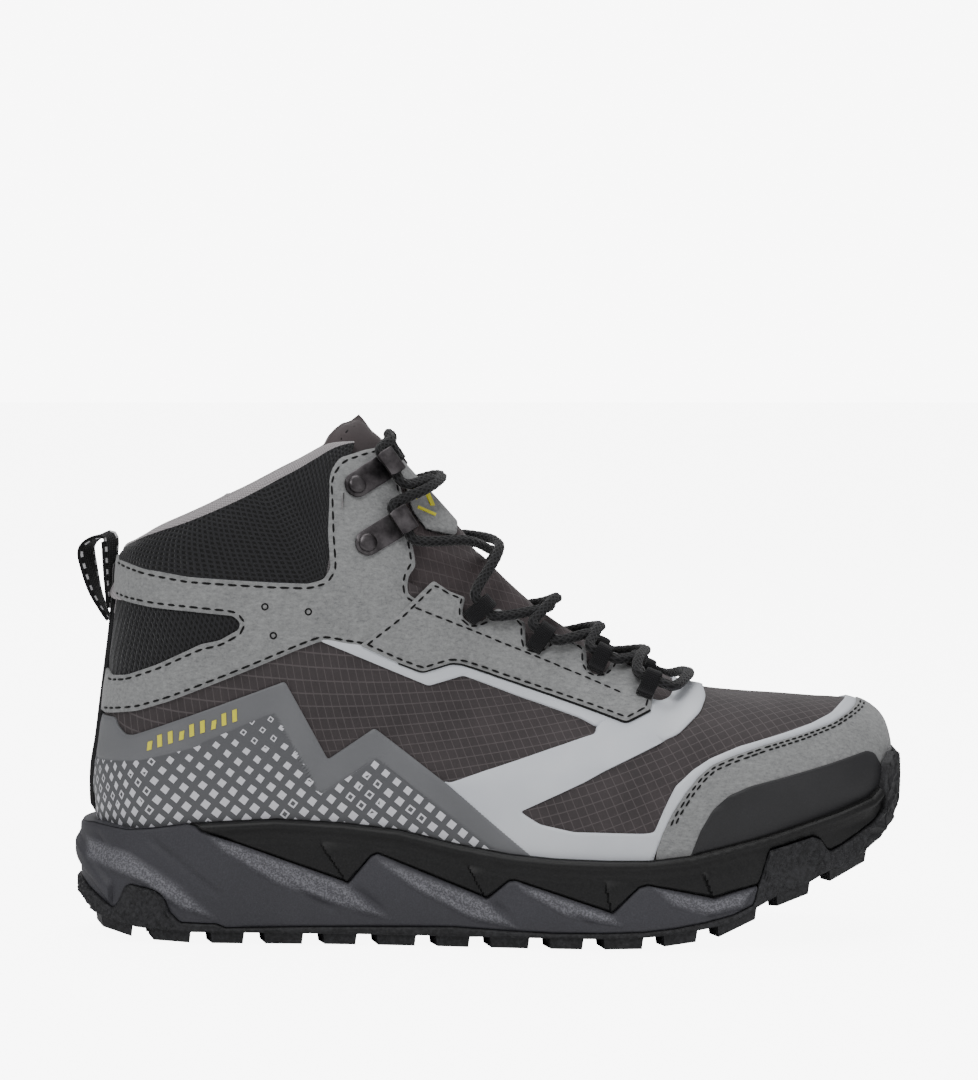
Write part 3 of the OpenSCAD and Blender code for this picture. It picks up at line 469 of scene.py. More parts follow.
def panel(name, edge, out, thick, material, sides="both", holes=(), radius=1.2, grid=3.4, edge_width=1.1,
          edge_drop=0.45, puff=0.0, puff_width=10.0, stands_for=(), body="shell", relief=None, grooves=()):
    """A sheet of the upper: a closed solid over the form inside a side outline."""
    loops = [outline_rings(edge, radius)] + [outline_rings(h, radius) for h in holes]
    outer = loops[0][0]
    samples = np.concatenate([loop for loop, _ in loops])
    edge3 = form_at(samples[:, 0], samples[:, 1])
    # The ridge and the back of the heel aren't real edges of the sheet
    real = (samples[:, 1] > 1e-4) & (samples[:, 1] < HEEL_WRAP - 1e-3)
    both = sides == "both"
    if not both:
        real = samples[:, 1] < HEEL_WRAP - 1e-3
    real3 = edge3[real]
    cloud = [samples]
    for loop, inward in loops:
        for d in (0.35, 0.9, 1.8):
            sign = 1 if loop is outer else -1
            q = loop + inward * d * sign
            ok = (q[:, 1] > 0.004) & (q[:, 1] < HEEL_WRAP) & (loop[:, 1] > 1e-4) & (loop[:, 1] < HEEL_WRAP - 1e-3)
            q = q[ok]
            if len(q):
                q = q[nearest(form_at(q[:, 0], q[:, 1]), edge3) > 0.8 * d]
                cloud.append(q)
    lines = [locate(dense(rounded(g, 3, False), 1.2, False)) for g in grooves]
    for line in lines:
        across = leftward(line, np.gradient(line, axis=0))
        q = np.concatenate([line] + [line + across * d for d in (-1.3, -0.6, 0.6, 1.3)])
        q = q[(q[:, 1] > 0.004) & (q[:, 1] < 1) & inside(q, outer)]
        q = q[nearest(form_at(q[:, 0], q[:, 1]), edge3) > 1.0]
        cloud.append(q)
    line3 = np.concatenate([form_at(g[:, 0], g[:, 1]) for g in lines]) if lines else None
    lo, hi = outer.min(0), outer.max(0)
    step_s, step_u = grid / GRID_SCALE
    rows_s = np.arange(lo[0], hi[0] + 1e-6, step_s)
    rows_u = np.arange(0 if both else 0.003, hi[1] + 1e-6, step_u)
    gs, gu = np.meshgrid(rows_s, rows_u)
    g = np.stack([gs.ravel() + 0.5 * step_s * (np.round(gu.ravel() / step_u) % 2), gu.ravel()], 1)
    g = g[(g[:, 1] >= lo[1]) & (g[:, 0] < LAST_SECTION)]
    g = g[inside(g + [0, 1e-5], outer)]
    for loop, _ in loops[1:]:
        g = g[~inside(g, loop)]
    gap = nearest(form_at(g[:, 0], g[:, 1]), edge3)
    near = (gap > 2.6) | ((g[:, 1] < 1e-6) & (nearest(form_at(g[:, 0], g[:, 1]), real3) > 1.2))
    if lines:
        near &= nearest(form_at(g[:, 0], g[:, 1]), line3) > 2.4
    cloud.append(g[near])
    plan = np.concatenate(cloud)
    edges = []
    start = 0
    for loop, _ in loops:
        n = len(loop)
        for i in range(n):
            j = (i + 1) % n
            if both and loop[i][1] < 1e-6 and loop[j][1] < 1e-6:
                continue
            edges.append((start + i, start + j))
        start += n
    if both:
        count = len(plan)
        plan = np.concatenate([plan * [1, -1], plan])
        edges = edges + [(a + count, b + count) for a, b in edges]
    result = delaunay_2d_cdt([Vector(p * PLAN_SCALE) for p in plan], edges, [], 0, 1e-4)
    pts = np.array([[v[0], v[1]] for v in result[0]]) / PLAN_SCALE
    tris = np.array([f for f in result[2] if len(f) == 3])
    mid = pts[tris].mean(1)
    fold = np.stack([mid[:, 0], np.abs(mid[:, 1])], 1)
    keep = inside(fold, outer)
    for loop, _ in loops[1:]:
        keep &= ~inside(fold, loop)
    tris = tris[keep]
    used, tris = np.unique(tris, return_inverse=True)
    tris = tris.reshape(-1, 3)
    pts = pts[used]
    pieces = []
    for side in ((-1, 1) if sides == "split" else (sides,)):
        u = pts[:, 1] if both else pts[:, 1] * side
        s = pts[:, 0]
        p = form_at(s, u)
        n = normal_at(s, u)
        mirrored = form_at(s, np.abs(u))
        dist = nearest(mirrored, real3) if len(real3) else np.full(len(s), 99.0)
        height = out - edge_drop * (1 - smooth(dist / edge_width)) ** 1.5
        if puff:
            height = height + puff * smooth(dist / puff_width)
        if lines:
            height = height - 0.4 * (1 - smooth(nearest(mirrored, line3) / 1.1))
        if relief is not None:
            height = height + relief(s, u, p, dist)
        top = p + n * height[:, None]
        low = p + n * (out - thick)
        f = tris if both else (tris if side > 0 else tris[:, ::-1])
        a, b, c = top[f[:, 0]], top[f[:, 1]], top[f[:, 2]]
        face_normal = np.cross(b - a, c - a)
        if (face_normal * n[f[:, 0]]).sum() < 0:
            f = f[:, ::-1]
        count = len(top)
        directed = {}
        for t in f:
            for i in range(3):
                directed[(t[i], t[(i + 1) % 3])] = True
        rim = [(i, j) for i, j in directed if (j, i) not in directed]
        faces = [tuple(t) for t in f] + [tuple(t[::-1] + count) for t in f]
        faces += [(i, i + count, j + count, j) for i, j in rim]
        uv = girth_uv(s, u)
        tag = name if sides != "split" else f"{name}_{'lateral' if side < 0 else 'medial'}"
        obj = add_piece(tag, np.concatenate([top, low]), faces, material, body,
                        uvs=np.concatenate([uv, uv]))
        obj.data.set_sharp_from_angle(angle=math.radians(50))
        if stands_for:
            nodes = stands_for if sides != "split" else [x.replace("*", tag.split("_")[-1]) for x in stands_for]
            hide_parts(*nodes)
        pieces.append(obj)
    return pieces


# ---------------------------------------------------------------- materials

def linear_colour(text):
    parts = [int(text[i:i + 2], 16) / 255 for i in (1, 3, 5)]
    return tuple(c / 12.92 if c <= 0.04045 else ((c + 0.055) / 1.055) ** 2.4 for c in parts) + (1,)


class Nodes:
    """A material under construction."""

    def __init__(self, name):
        self.mat = bpy.data.materials.new(name)
        self.mat.use_nodes = True
        self.tree = self.mat.node_tree
        self.shader = self.tree.nodes["Principled BSDF"]

    def add(self, kind, **inputs):
        node = self.tree.nodes.new(kind)
        for key, value in inputs.items():
            self.put(node.inputs[int(key[1:]) if key[0] == "_" else key.replace("_", " ")], value)
        return node

    def put(self, socket, value):
        if isinstance(value, bpy.types.NodeSocket):
            self.tree.links.new(value, socket)
        else:
            socket.default_value = value

    def math(self, op, a, b=0.0, c=0.0):
        node = self.add("ShaderNodeMath", _0=a, _1=b, _2=c)
        node.operation = op
        return node.outputs[0]

    def uv(self):
        return self.add("ShaderNodeUVMap").outputs[0]

    def place(self):
        return self.add("ShaderNodeTexCoord").outputs["Object"]

    def split(self, vector):
        return self.add("ShaderNodeSeparateXYZ", _0=vector).outputs

    def noise(self, scale, detail=3.0, rough=0.6, vector=None, stretch=None):
        vector = vector or self.place()
        if stretch:
            vector = self.add("ShaderNodeMapping", _0=vector, Scale=stretch).outputs[0]
        return self.add("ShaderNodeTexNoise", Vector=vector, Scale=scale, Detail=detail, Roughness=rough).outputs[0]

    def ramp(self, value, lo, hi):
        node = self.add("ShaderNodeMapRange", _0=value, _1=lo, _2=hi, _3=0.0, _4=1.0)
        node.clamp = True
        return node.outputs[0]

    def mix(self, factor, a, b):
        node = self.tree.nodes.new("ShaderNodeMix")
        node.data_type = "RGBA"
        self.put(node.inputs[0], factor)
        self.put(node.inputs[6], a)
        self.put(node.inputs[7], b)
        return node.outputs[2]

    def bump(self, height, depth, strength=1.0, normal=None):
        node = self.add("ShaderNodeBump", Height=height, Distance=depth, Strength=strength)
        if normal is not None:
            self.put(node.inputs["Normal"], normal)
        return node.outputs[0]

    def done(self, colour, rough=0.7, normal=None, metal=0.0, sheen=0.0, specular=0.4):
        self.put(self.shader.inputs["Base Color"], colour)
        self.put(self.shader.inputs["Roughness"], rough)
        self.shader.inputs["Metallic"].default_value = metal
        self.shader.inputs["Sheen Weight"].default_value = sheen
        self.shader.inputs["Sheen Roughness"].default_value = 0.4
        self.shader.inputs["Specular IOR Level"].default_value = specular
        if normal is not None:
            self.put(self.shader.inputs["Normal"], normal)
        return self.mat


def nubuck(name, dark, light):
    m = Nodes(name)
    fine = m.noise(1400, 4, 0.7)
    brushed = m.noise(1000, 5, 0.7, stretch=(0.42, 0.8, 1.0))
    cloud = m.noise(70, 4, 0.6)
    shade = m.math("MULTIPLY_ADD", brushed, 0.62, m.math("MULTIPLY_ADD", fine, 0.34, m.math("MULTIPLY", cloud, 0.16)))
    colour = m.mix(m.ramp(shade, 0.36, 0.76), linear_colour(dark), linear_colour(light))
    return m.done(colour, 0.88, m.bump(m.math("ADD", fine, brushed), 0.00022, 0.55), sheen=0.25, specular=0.25)


def ripstop(name, cloth, line, pitch=0.0036, plain_above=1.0):
    m = Nodes(name)
    u, v, _ = m.split(m.uv())
    a = m.math("MULTIPLY", m.math("ADD", u, m.math("MULTIPLY", v, 0.75)), 1 / pitch * 0.8)
    b = m.math("MULTIPLY", m.math("SUBTRACT", m.math("MULTIPLY", u, 0.75), v), 1 / pitch * 0.8)
    near = m.math("MINIMUM", m.math("PINGPONG", a, 0.5), m.math("PINGPONG", b, 0.5))
    grid = m.math("SUBTRACT", 1.0, m.ramp(near, 0.03, 0.075))
    height = m.split(m.place())[2]
    grid = m.math("MULTIPLY", grid, m.math("SUBTRACT", 1.0, m.ramp(height, plain_above, plain_above + 0.002)))
    threads = m.math("MULTIPLY", m.math("PINGPONG", m.math("MULTIPLY", u, 2600), 0.5),
                     m.math("PINGPONG", m.math("MULTIPLY", v, 2600), 0.5))
    tone = m.mix(m.ramp(m.noise(55, 2), 0.3, 0.75), linear_colour(cloth), linear_colour("#484243"))
    colour = m.mix(m.math("MULTIPLY", grid, 0.34), tone, linear_colour(line))
    height = m.math("MULTIPLY_ADD", grid, 0.6, m.math("MULTIPLY", threads, 1.3))
    return m.done(colour, 0.72, m.bump(height, 0.00016, 0.8), sheen=0.2, specular=0.35)


def mesh_cloth(name, dark, light, size=0.0017):
    m = Nodes(name)
    cells = m.add("ShaderNodeTexVoronoi", Vector=m.uv(), Scale=1 / size, Randomness=0.12)
    cells.feature = "DISTANCE_TO_EDGE"
    rim = m.ramp(cells.outputs[0], 0.14, 0.3)
    colour = m.mix(rim, linear_colour(light), linear_colour(dark))
    height = m.math("SUBTRACT", 1.0, rim)
    return m.done(colour, 0.68, m.bump(height, 0.0006, 0.9), sheen=0.15, specular=0.35)


def film(name, base, light, rough=0.42):
    m = Nodes(name)
    tone = m.ramp(m.noise(24, 3), 0.35, 0.7)
    grain = m.noise(2300, 2, 0.5)
    colour = m.mix(m.math("MULTIPLY", tone, 0.6), linear_colour(base), linear_colour(light))
    return m.done(colour, m.math("MULTIPLY_ADD", grain, 0.12, rough - 0.06), m.bump(grain, 0.00006, 0.6), specular=0.45)


def knit(name, base, light, scale=1.0):
    m = Nodes(name)
    u, v, _ = m.split(m.uv())
    rows = m.math("PINGPONG", m.math("MULTIPLY", v, 900 * scale), 0.5)
    lean = m.math("MULTIPLY_ADD", rows, 0.9, m.math("MULTIPLY", u, 1100 * scale))
    loops = m.math("PINGPONG", lean, 0.5)
    height = m.math("MULTIPLY", m.math("ADD", rows, loops), 1.0)
    colour = m.mix(m.ramp(height, 0.25, 0.8), linear_colour(base), linear_colour(light))
    return m.done(colour, 0.85, m.bump(height, 0.0003, 0.8), sheen=0.3, specular=0.2)


def moulded(name, base, light, rough=0.6, speck=900.0, depth=0.00012, amount=1.0, painted_highlight=None):
    """The last argument is the colour of a painted highlight, broken up by speckle, laid where the mesh attribute of
    the same name is 1.
    """
    m = Nodes(name)
    grain = m.noise(speck, 3, 0.65)
    broad = m.noise(30, 3, 0.5)
    colour = m.mix(m.math("MULTIPLY", m.ramp(m.math("MULTIPLY_ADD", broad, 0.3, m.math("MULTIPLY", grain, 0.7)),
                                             0.42, 0.66), amount), linear_colour(base), linear_colour(light))
    if painted_highlight:
        # painted highlight: where the attribute is 1 the colour is lightened toward the highlight colour, speckled
        zone = m.add("ShaderNodeAttribute")
        zone.attribute_name = "painted_highlight"
        spots = m.ramp(m.noise(1500, 2, 0.6), 0.44, 0.6)
        painted_highlight_mask = m.math("MULTIPLY", zone.outputs["Fac"], m.math("MULTIPLY_ADD", spots, 0.7, 0.3))
        colour = m.mix(painted_highlight_mask, colour, linear_colour(painted_highlight))
    return m.done(colour, m.math("MULTIPLY_ADD", grain, 0.2, rough - 0.1), m.bump(grain, depth, 0.7), specular=0.4)


def printed_film(name, base, inner, mark):
    """Film with a printed lattice of small squares, thicker lower down."""
    m = Nodes(name)
    x, y, z = m.split(m.place())
    # Round the heel the lattice runs on across the back
    behind = m.ramp(x, -0.118, -0.138)
    inward = m.math("MAXIMUM", 0.0, m.math("SUBTRACT", 0.03, m.math("ABSOLUTE", y)))
    x = m.math("SUBTRACT", x, m.math("MULTIPLY", behind, inward))
    a = m.math("MULTIPLY", m.math("ADD", m.math("MULTIPLY", x, 0.7937), m.math("MULTIPLY", z, -0.6083)), 200)
    b = m.math("MULTIPLY", m.math("ADD", m.math("MULTIPLY", x, 0.6046), m.math("MULTIPLY", z, 0.7966)), 204)
    square = m.math("MAXIMUM", m.math("SUBTRACT", 0.5, m.math("PINGPONG", a, 0.5)),
                    m.math("SUBTRACT", 0.5, m.math("PINGPONG", b, 0.5)))
    cell = m.add("ShaderNodeCombineXYZ", _0=m.math("ROUND", a), _1=m.math("ROUND", b), _2=0.0).outputs[0]
    pick = m.add("ShaderNodeTexWhiteNoise", Vector=cell).outputs[0]
    size = m.add("ShaderNodeMapRange", _0=z, _1=0.088, _2=0.05, _3=0.15, _4=0.27).outputs[0]
    size = m.math("MULTIPLY_ADD", pick, 0.02, size)
    flip = m.math("SUBTRACT", 0.5, square)
    on = m.math("GREATER_THAN", flip, m.math("SUBTRACT", 0.5, size))
    core = m.math("GREATER_THAN", flip, m.math("SUBTRACT", 0.5, m.math("MULTIPLY", size, 0.55)))
    hollow = m.math("MULTIPLY", core, m.math("GREATER_THAN", m.noise(60, 1), 0.58))
    on = m.math("MULTIPLY", on, m.math("SUBTRACT", 1.0, hollow))
    zone = m.add("ShaderNodeAttribute")
    zone.attribute_name = "zone"
    on = m.math("MULTIPLY", on, m.math("GREATER_THAN", zone.outputs["Fac"], 0.5))
    grain = m.noise(2300, 2, 0.5)
    tone = m.mix(m.ramp(m.noise(26, 2), 0.3, 0.7), linear_colour(base), linear_colour("#77787b"))
    tone = m.mix(zone.outputs["Fac"], tone, linear_colour(inner))
    colour = m.mix(on, tone, linear_colour(mark))
    return m.done(colour, m.math("MULTIPLY_ADD", grain, 0.1, 0.42),
                  m.bump(m.math("MULTIPLY_ADD", on, 0.8, m.math("MULTIPLY", grain, 0.4)), 0.0001, 0.6))


def braid(name, dark, light):
    """Round braid: UV u runs along in metres, v once round."""
    m = Nodes(name)
    u, v, _ = m.split(m.uv())
    along_ = m.math("MULTIPLY", u, 330)
    p = m.math("PINGPONG", m.math("MULTIPLY_ADD", v, 7, along_), 0.5)
    q = m.math("PINGPONG", m.math("MULTIPLY_ADD", v, -7, along_), 0.5)
    height = m.math("MAXIMUM", p, q)
    colour = m.mix(m.ramp(height, 0.24, 0.47), linear_colour(dark), linear_colour(light))
    return m.done(colour, 0.75, m.bump(height, 0.0006, 0.9), sheen=0.2, specular=0.3)


def webbing(name, dark, light, mark=None):
    """UV u along in metres, v from 0 to 1 across; mark draws dashes along both edges."""
    m = Nodes(name)
    u, v, _ = m.split(m.uv())
    ribs = m.math("PINGPONG", m.math("MULTIPLY", v, 9), 0.5)
    weft = m.math("PINGPONG", m.math("MULTIPLY_ADD", ribs, 0.6, m.math("MULTIPLY", u, 1400)), 0.5)
    height = m.math("ADD", ribs, weft)
    colour = m.mix(m.ramp(height, 0.3, 0.85), linear_colour(dark), linear_colour(light))
    if mark:
        edge = m.math("PINGPONG", v, 0.5)
        band = m.math("MULTIPLY", m.math("GREATER_THAN", edge, 0.07), m.math("LESS_THAN", edge, 0.2))
        dash = m.math("LESS_THAN", m.math("FRACT", m.math("MULTIPLY", u, 240)), 0.45)
        colour = m.mix(m.math("MULTIPLY", band, dash), colour, linear_colour(mark))
    return m.done(colour, 0.78, m.bump(height, 0.0003, 0.9), sheen=0.15, specular=0.3)


def metal(name, colour, light):
    m = Nodes(name)
    worn = m.noise(160, 4, 0.6)
    tone = m.mix(m.ramp(worn, 0.35, 0.75), linear_colour(colour), linear_colour(light))
    return m.done(tone, m.math("MULTIPLY_ADD", worn, 0.25, 0.27), m.bump(worn, 0.00005, 0.4), metal=0.85)


NUBUCK = nubuck("nubuck", "#707172", "#a9aaaa")
RIPSTOP = ripstop("ripstop", "#3b3637", "#7b7374")
MESH = mesh_cloth("air_mesh", "#030304", "#222225", 0.0018)
FINE_MESH = mesh_cloth("fine_mesh", "#030304", "#242427", 0.0018)
WHITE = film("white_film", "#d7dbe2", "#e9ecf0")
TOE_FILM = film("charcoal_film", "#28282a", "#333336", 0.5)
HEEL_FILM = printed_film("slate_film", "#6b6c6f", "#5f6063", "#dedee4")
LINING = knit("lining", "#8f8a8c", "#bcb7b9")
TONGUE_CLOTH = ripstop("tongue_cloth", "#4a4142", "#6f6667", 0.0036, 0.171)
GUSSET = knit("gusset", "#1e1e20", "#38383b")
# the last colour of the slate foam is a painted highlight on the raised blade faces of the lower midsole
SLATE_FOAM = moulded("slate_foam", "#3d3d42", "#505056", 0.6, 1900, 0.00008, 0.6, "#7c7c82")
BLACK_FOAM = moulded("black_foam", "#0c0c0d", "#1b1b1c", 0.5, 1300)
RUBBER = moulded("rubber", "#1d1d1f", "#3a3a3d", 0.6, 700, 0.00018)
LACE = braid("lace_braid", "#080809", "#2c2c2e")
WEBBING = webbing("webbing", "#08080a", "#222225")
PULL = webbing("pull_webbing", "#09090a", "#222225", "#e4e4e6")
GUNMETAL = metal("gunmetal", "#3a3739", "#6e6a6c")
THREAD_BLACK = knit("black_thread", "#0f0f10", "#2b2b2d", 2.0)
PIPING = knit("piping", "#121213", "#2f2f31", 1.4)
YELLOW = film("yellow_print", "#ece23a", "#f7ee55", 0.5)
FIBRE = moulded("fibre_board", "#b39a72", "#cdb78d", 0.8, 420)
SHANK = moulded("shank_plate", "#a9acb0", "#c3c6ca", 0.4, 300)
STIFFENER = moulded("stiffener_sheet", "#7f7568", "#9c9284", 0.8, 500)
FOOTBED_CLOTH = knit("footbed_cloth", "#5d6063", "#83868a", 0.8)

# ---------------------------------------------------------------- upper panels

VAMP_EDGE = VAMP_SEAM + sole_line(4, 146, 3, 40) + [[FAR_FRONT, 64], [FAR_FRONT, 110], [69.5, 110], [69.5, 96]]
QUARTER_EDGE = COLLAR_LINE + THROAT + VAMP_SEAM[1:] + sole_line(2, -150, 4, 36) + [[FAR_BACK, 40]]
LIFTED = [[x - 0.6, z + 1.3] if x > 59 and z < 86 and i > 14 else [x, z] for i, (x, z) in enumerate(VAMP_WINDOW)]
WHITE_EDGE = WINDOW_EDGE + LIFTED + TOE_EDGE[:-1] + [[60.5, 36]] + sole_line(58, 18, 4, 10)
TOE_CAP_EDGE = [[FAR_FRONT, 100]] + TOE_EDGE[:-1] + [[60.5, 36]] + sole_line(60, 146, 3, 24) + [[FAR_FRONT, 60]]
HEEL_FILM_EDGE = MOUNTAIN_EDGE + sole_line(14, -148, 4, 40) + [[FAR_BACK, 40]]
TOE_FILM_OUTLINE = TOE_FILM_EDGE + sole_line(141, 74, 0.5, 16)
LINING_EDGE = COLLAR_LINE + THROAT + [[69.5, 96], [69.5, 110], [FAR_FRONT, 110], [FAR_FRONT, 64]] \
    + sole_line(146, -148, 4, 60) + [[FAR_BACK, 40]]
STAY_EDGE = STAY_TOP + STAY_LOW
TONGUE_EDGE = [[-44, 194], [-47, 192.3], [-50.5, 191.2], [-54, 187.5], [-56.5, 183], [-57.5, 176], [-55, 167],
               [-50, 155], [-46, 140], [-36, 118], [-18, 102], [10, 88], [40, 78], [62, 74], [70, 80], [72, 100],
               [24, 130], [-30, 190]]
PATCH_EDGE = [[-38, 190], [-34.5, 179.5], [-29.5, 166], [-27, 157], [-22, 150.5], [-11, 148], [-8, 170]]
GUSSET_EDGE = [[-46.5, 139], [-36.5, 117], [-18.5, 101], [10, 87], [40, 77], [61, 73], [58, 66], [36, 66],
               [6, 76], [-24, 92], [-46, 112], [-52, 134]]


def finish_piece(objs):
    return objs


finish_piece(panel("vamp_cloth", VAMP_EDGE, 0, 1.2, RIPSTOP, stands_for=["vamp"], grid=3.2))
finish_piece(panel("quarter", QUARTER_EDGE, 0, 1.2, RIPSTOP, sides="split", holes=[HEEL_MESH_EDGE[:-1]],
                   stands_for=["quarter_*"], grid=3.2))
finish_piece(panel("heel_mesh_cloth", HEEL_MESH_EDGE, 0, 1.2, MESH, puff=0.9, stands_for=["heel_mesh"], grid=2.4))
finish_piece(panel("white_film_overlay", WHITE_EDGE, 1.15, 1.1, WHITE, stands_for=["white_overlay"], edge_width=0.8,
                   edge_drop=0.5))
WHITE_STRIPE = [[-63, 111], [-59.5, 109.5], [-22, 93.6], [-9.5, 97], [10.5, 89.4], [33, 81.6], [39, 78.5], [44, 81.5],
                [49, 84], [20, 94.5], [-10.5, 105], [-24.5, 102.5], [-40, 109], [-58, 114]]
finish_piece(panel("white_film_stripe", WHITE_STRIPE, 1.2, 1.15, WHITE, sides="split", edge_width=0.8,
                   edge_drop=0.5))
finish_piece(panel("toe_cap_nubuck", TOE_CAP_EDGE, 1.5, 1.4, NUBUCK, stands_for=["toe_cap"], edge_width=1.6,
                   edge_drop=0.7, grid=3.0))
heel_film = panel("heel_film", HEEL_FILM_EDGE, 1.3, 1.2, HEEL_FILM, sides="split", stands_for=["heel_film_*"],
                  grooves=[EMBOSSED_EDGE], edge_width=1.0, edge_drop=0.5, grid=3.0)
finish_piece(heel_film)
finish_piece(panel("toe_film", TOE_FILM_OUTLINE, 2.25, 0.8, TOE_FILM, sides="split", stands_for=["toe_film_*"],
                   edge_width=1.0, edge_drop=0.5, grid=3.0))
finish_piece(panel("ankle_overlay", ANKLE_EDGE, 1.5, 1.4, NUBUCK, sides="split", holes=[HEEL_WINDOW[:-1]],
                   stands_for=["ankle_overlay_*"], edge_width=1.6, edge_drop=0.7, grid=3.0, puff=0.5, puff_width=12))
finish_piece(panel("lace_stay", STAY_EDGE, 2.7, 1.4, NUBUCK, sides="split", stands_for=["lace_stay_*"],
                   edge_width=1.5, edge_drop=0.7, grid=2.6))
finish_piece(panel("bootie", LINING_EDGE, -2.6, 0.8, LINING, stands_for=["bootie_lining"], grid=4.5))
finish_piece(panel("gusset", GUSSET_EDGE, -3.8, 0.8, GUSSET, sides="split", stands_for=["gusset_*"], grid=3.2,
                   body="tongue_unit"))


def mark_zone(objs, edge):
    """An attribute that is 1 inside the side outline, for the print."""
    loop = np.array(edge, float)
    for obj in objs:
        co = np.array([v.co for v in obj.data.vertices]) / MM
        float_attribute(obj, "zone", inside(co[:, [0, 2]], loop))


mark_zone(heel_film, EMBOSSED_EDGE + [[0, 20], [FAR_BACK, 20], [FAR_BACK, 65]])

# ---------------------------------------------------------------- tubes and lofts


def loft(name, rings, material, body="shell", uvs=None):
    """A closed surface through rings with the same number of points."""
    rings = np.asarray(rings, float)
    n, r = rings.shape[:2]
    faces = tube_faces(n, r)
    verts = rings.reshape(-1, 3)
    # Turn the surface outward
    mid = rings.mean(1)
    test = 0.0
    for i in range(0, n - 1, max(1, n // 8)):
        a, b, c = rings[i, 0], rings[i, 1], rings[i + 1, 0]
        test += float(np.dot(np.cross(b - a, c - a), a - mid[i]))
    if test < 0:
        faces = [f[::-1] for f in faces]
    return add_piece(name, verts, faces, material, body, uvs=None if uvs is None else np.asarray(uvs).reshape(-1, 2))


def smooth_path(points, step):
    """A spline through the points, resampled at even steps."""
    pts = np.asarray(points, float)
    n = len(pts)
    out = []
    for i in range(n - 1):
        a, b, c, d = pts[max(i - 1, 0)], pts[i], pts[i + 1], pts[min(i + 2, n - 1)]
        for t in np.linspace(0, 1, 9)[:-1]:
            out.append((2 * b + (c - a) * t + (2 * a - 5 * b + 4 * c - d) * t * t
                        + (3 * b - a - 3 * c + d) * t ** 3) / 2)
    out.append(pts[-1])
    out = np.array(out)
    lengths = np.concatenate([[0], np.cumsum(np.linalg.norm(np.diff(out, axis=0), axis=1))])
    count = max(3, int(lengths[-1] / step))
    at = np.linspace(0, lengths[-1], count + 1)
    return np.stack([np.interp(at, lengths, out[:, k]) for k in range(3)], 1), at


def strip(name, path, across, width, thick, material, body):
    """A flat band: path is its middle line, across the direction over its width at each point."""
    path = np.asarray(path, float)
    tangent = unit(np.gradient(path, axis=0))
    up = unit(np.cross(tangent, unit(np.asarray(across, float))))
    side = np.cross(up, tangent)
    profile = [(-0.5 + k / 8, 0.5) for k in range(9)] + [(0.5 - k / 8, -0.5) for k in range(9)]
    rings, uvs = [], []
    dist = np.concatenate([[0], np.cumsum(np.linalg.norm(np.diff(path, axis=0), axis=1))])
    for i in range(len(path)):
        ring, uv = [], []
        for a, b in profile:
            edge = (1 - (2 * abs(a)) ** 6 * 0.55)
            ring.append(path[i] + side[i] * a * width + up[i] * b * thick * edge)
            uv.append((dist[i] * MM, a + 0.5))
        rings.append(ring)
        uvs.append(uv)
    return loft(name, rings, material, body, uvs)


def frame_at(s, u):
    """Outward, towards the toe and across directions at a place on the form."""
    n = normal_at(s, u)[0]
    d = form_at(s + 0.1, u)[0] - form_at(s - 0.1, u)[0]
    x = d - n * float(np.dot(d, n))
    x /= np.linalg.norm(x)
    return n, x, np.cross(n, x)


def join_meshes(name, parts, material, body="shell", smooth_shade=True, uvs=None):
    verts, faces, total = [], [], 0
    for v, f in parts:
        verts.append(np.asarray(v, float))
        faces += [tuple(int(i) + total for i in face) for face in f]
        total += len(v)
    return add_piece(name, np.concatenate(verts), faces, material, body, smooth_shade, uvs)


def capsule(a, b, radius, up, flat=0.75, sides=6):
    """A short thread between two points."""
    a, b, up = (np.asarray(q, float) for q in (a, b, up))
    d = b - a
    length = np.linalg.norm(d)
    d = d / max(length, 1e-9)
    side = np.cross(up, d)
    side /= max(np.linalg.norm(side), 1e-9)
    top = np.cross(d, side)
    verts = []
    stations = [(-0.1, 0.0), (0.02, 0.65), (0.2, 1.0), (0.8, 1.0), (0.98, 0.65), (1.1, 0.0)]
    for t, r in stations:
        lift = math.sin(math.pi * min(max(t, 0), 1)) * radius * 0.5
        for k in range(sides):
            w = 2 * math.pi * k / sides
            verts.append(a + d * length * t + side * math.cos(w) * radius * max(r, 0.12)
                         + top * (math.sin(w) * radius * max(r, 0.12) * flat + lift))
    return verts, tube_faces(len(stations), sides)


def stitches(name, points, out, inset, pitch, length, radius, closed=False, body="shell", turn=1):
    """Rows of thread just inside an outline, or along a line."""
    line = locate(dense(rounded(points, 1.5, closed), 0.8, closed))
    if closed:
        tangent = np.roll(line, -1, axis=0) - np.roll(line, 1, axis=0)
        turn = loop_sense(line)
    else:
        tangent = np.gradient(line, axis=0)
    row = line + leftward(line, tangent) * turn * inset
    ok = (row[:, 1] > 0.002) & (row[:, 1] < 1.0) & (line[:, 1] > 1e-3) & (line[:, 1] < HEEL_WRAP - 1e-3)
    loop3 = form_at(line[:, 0], line[:, 1])
    row3 = form_at(row[:, 0], row[:, 1])
    parts = []
    for side, _ in SIDES:
        u = row[:, 1] * side
        p = over_form(row[:, 0], u, np.full(len(u), out))
        n = normal_at(row[:, 0], u)
        keep = ok & (nearest(row3, loop3) > inset * 0.7 - 0.05)
        run = 0.0
        start = None
        for i in range(1, len(p)):
            if not (keep[i] and keep[i - 1]):
                run, start = 0.0, None
                continue
            step = np.linalg.norm(p[i] - p[i - 1])
            if step > 3:
                run, start = 0.0, None
                continue
            if start is None:
                start = i - 1
            run += step
            if run >= length:
                parts.append(capsule(p[start], p[i], radius, n[i]))
                run = 0.0
                # leave the gap between two threads
                gap = 0.0
                j = i
                while j + 1 < len(p) and gap < pitch - length:
                    gap += np.linalg.norm(p[j + 1] - p[j])
                    j += 1
                start = None
                keep = keep.copy()
                keep[i:j] = False
    join_meshes(name, parts, THREAD_BLACK, body)


# ---------------------------------------------------------------- sole

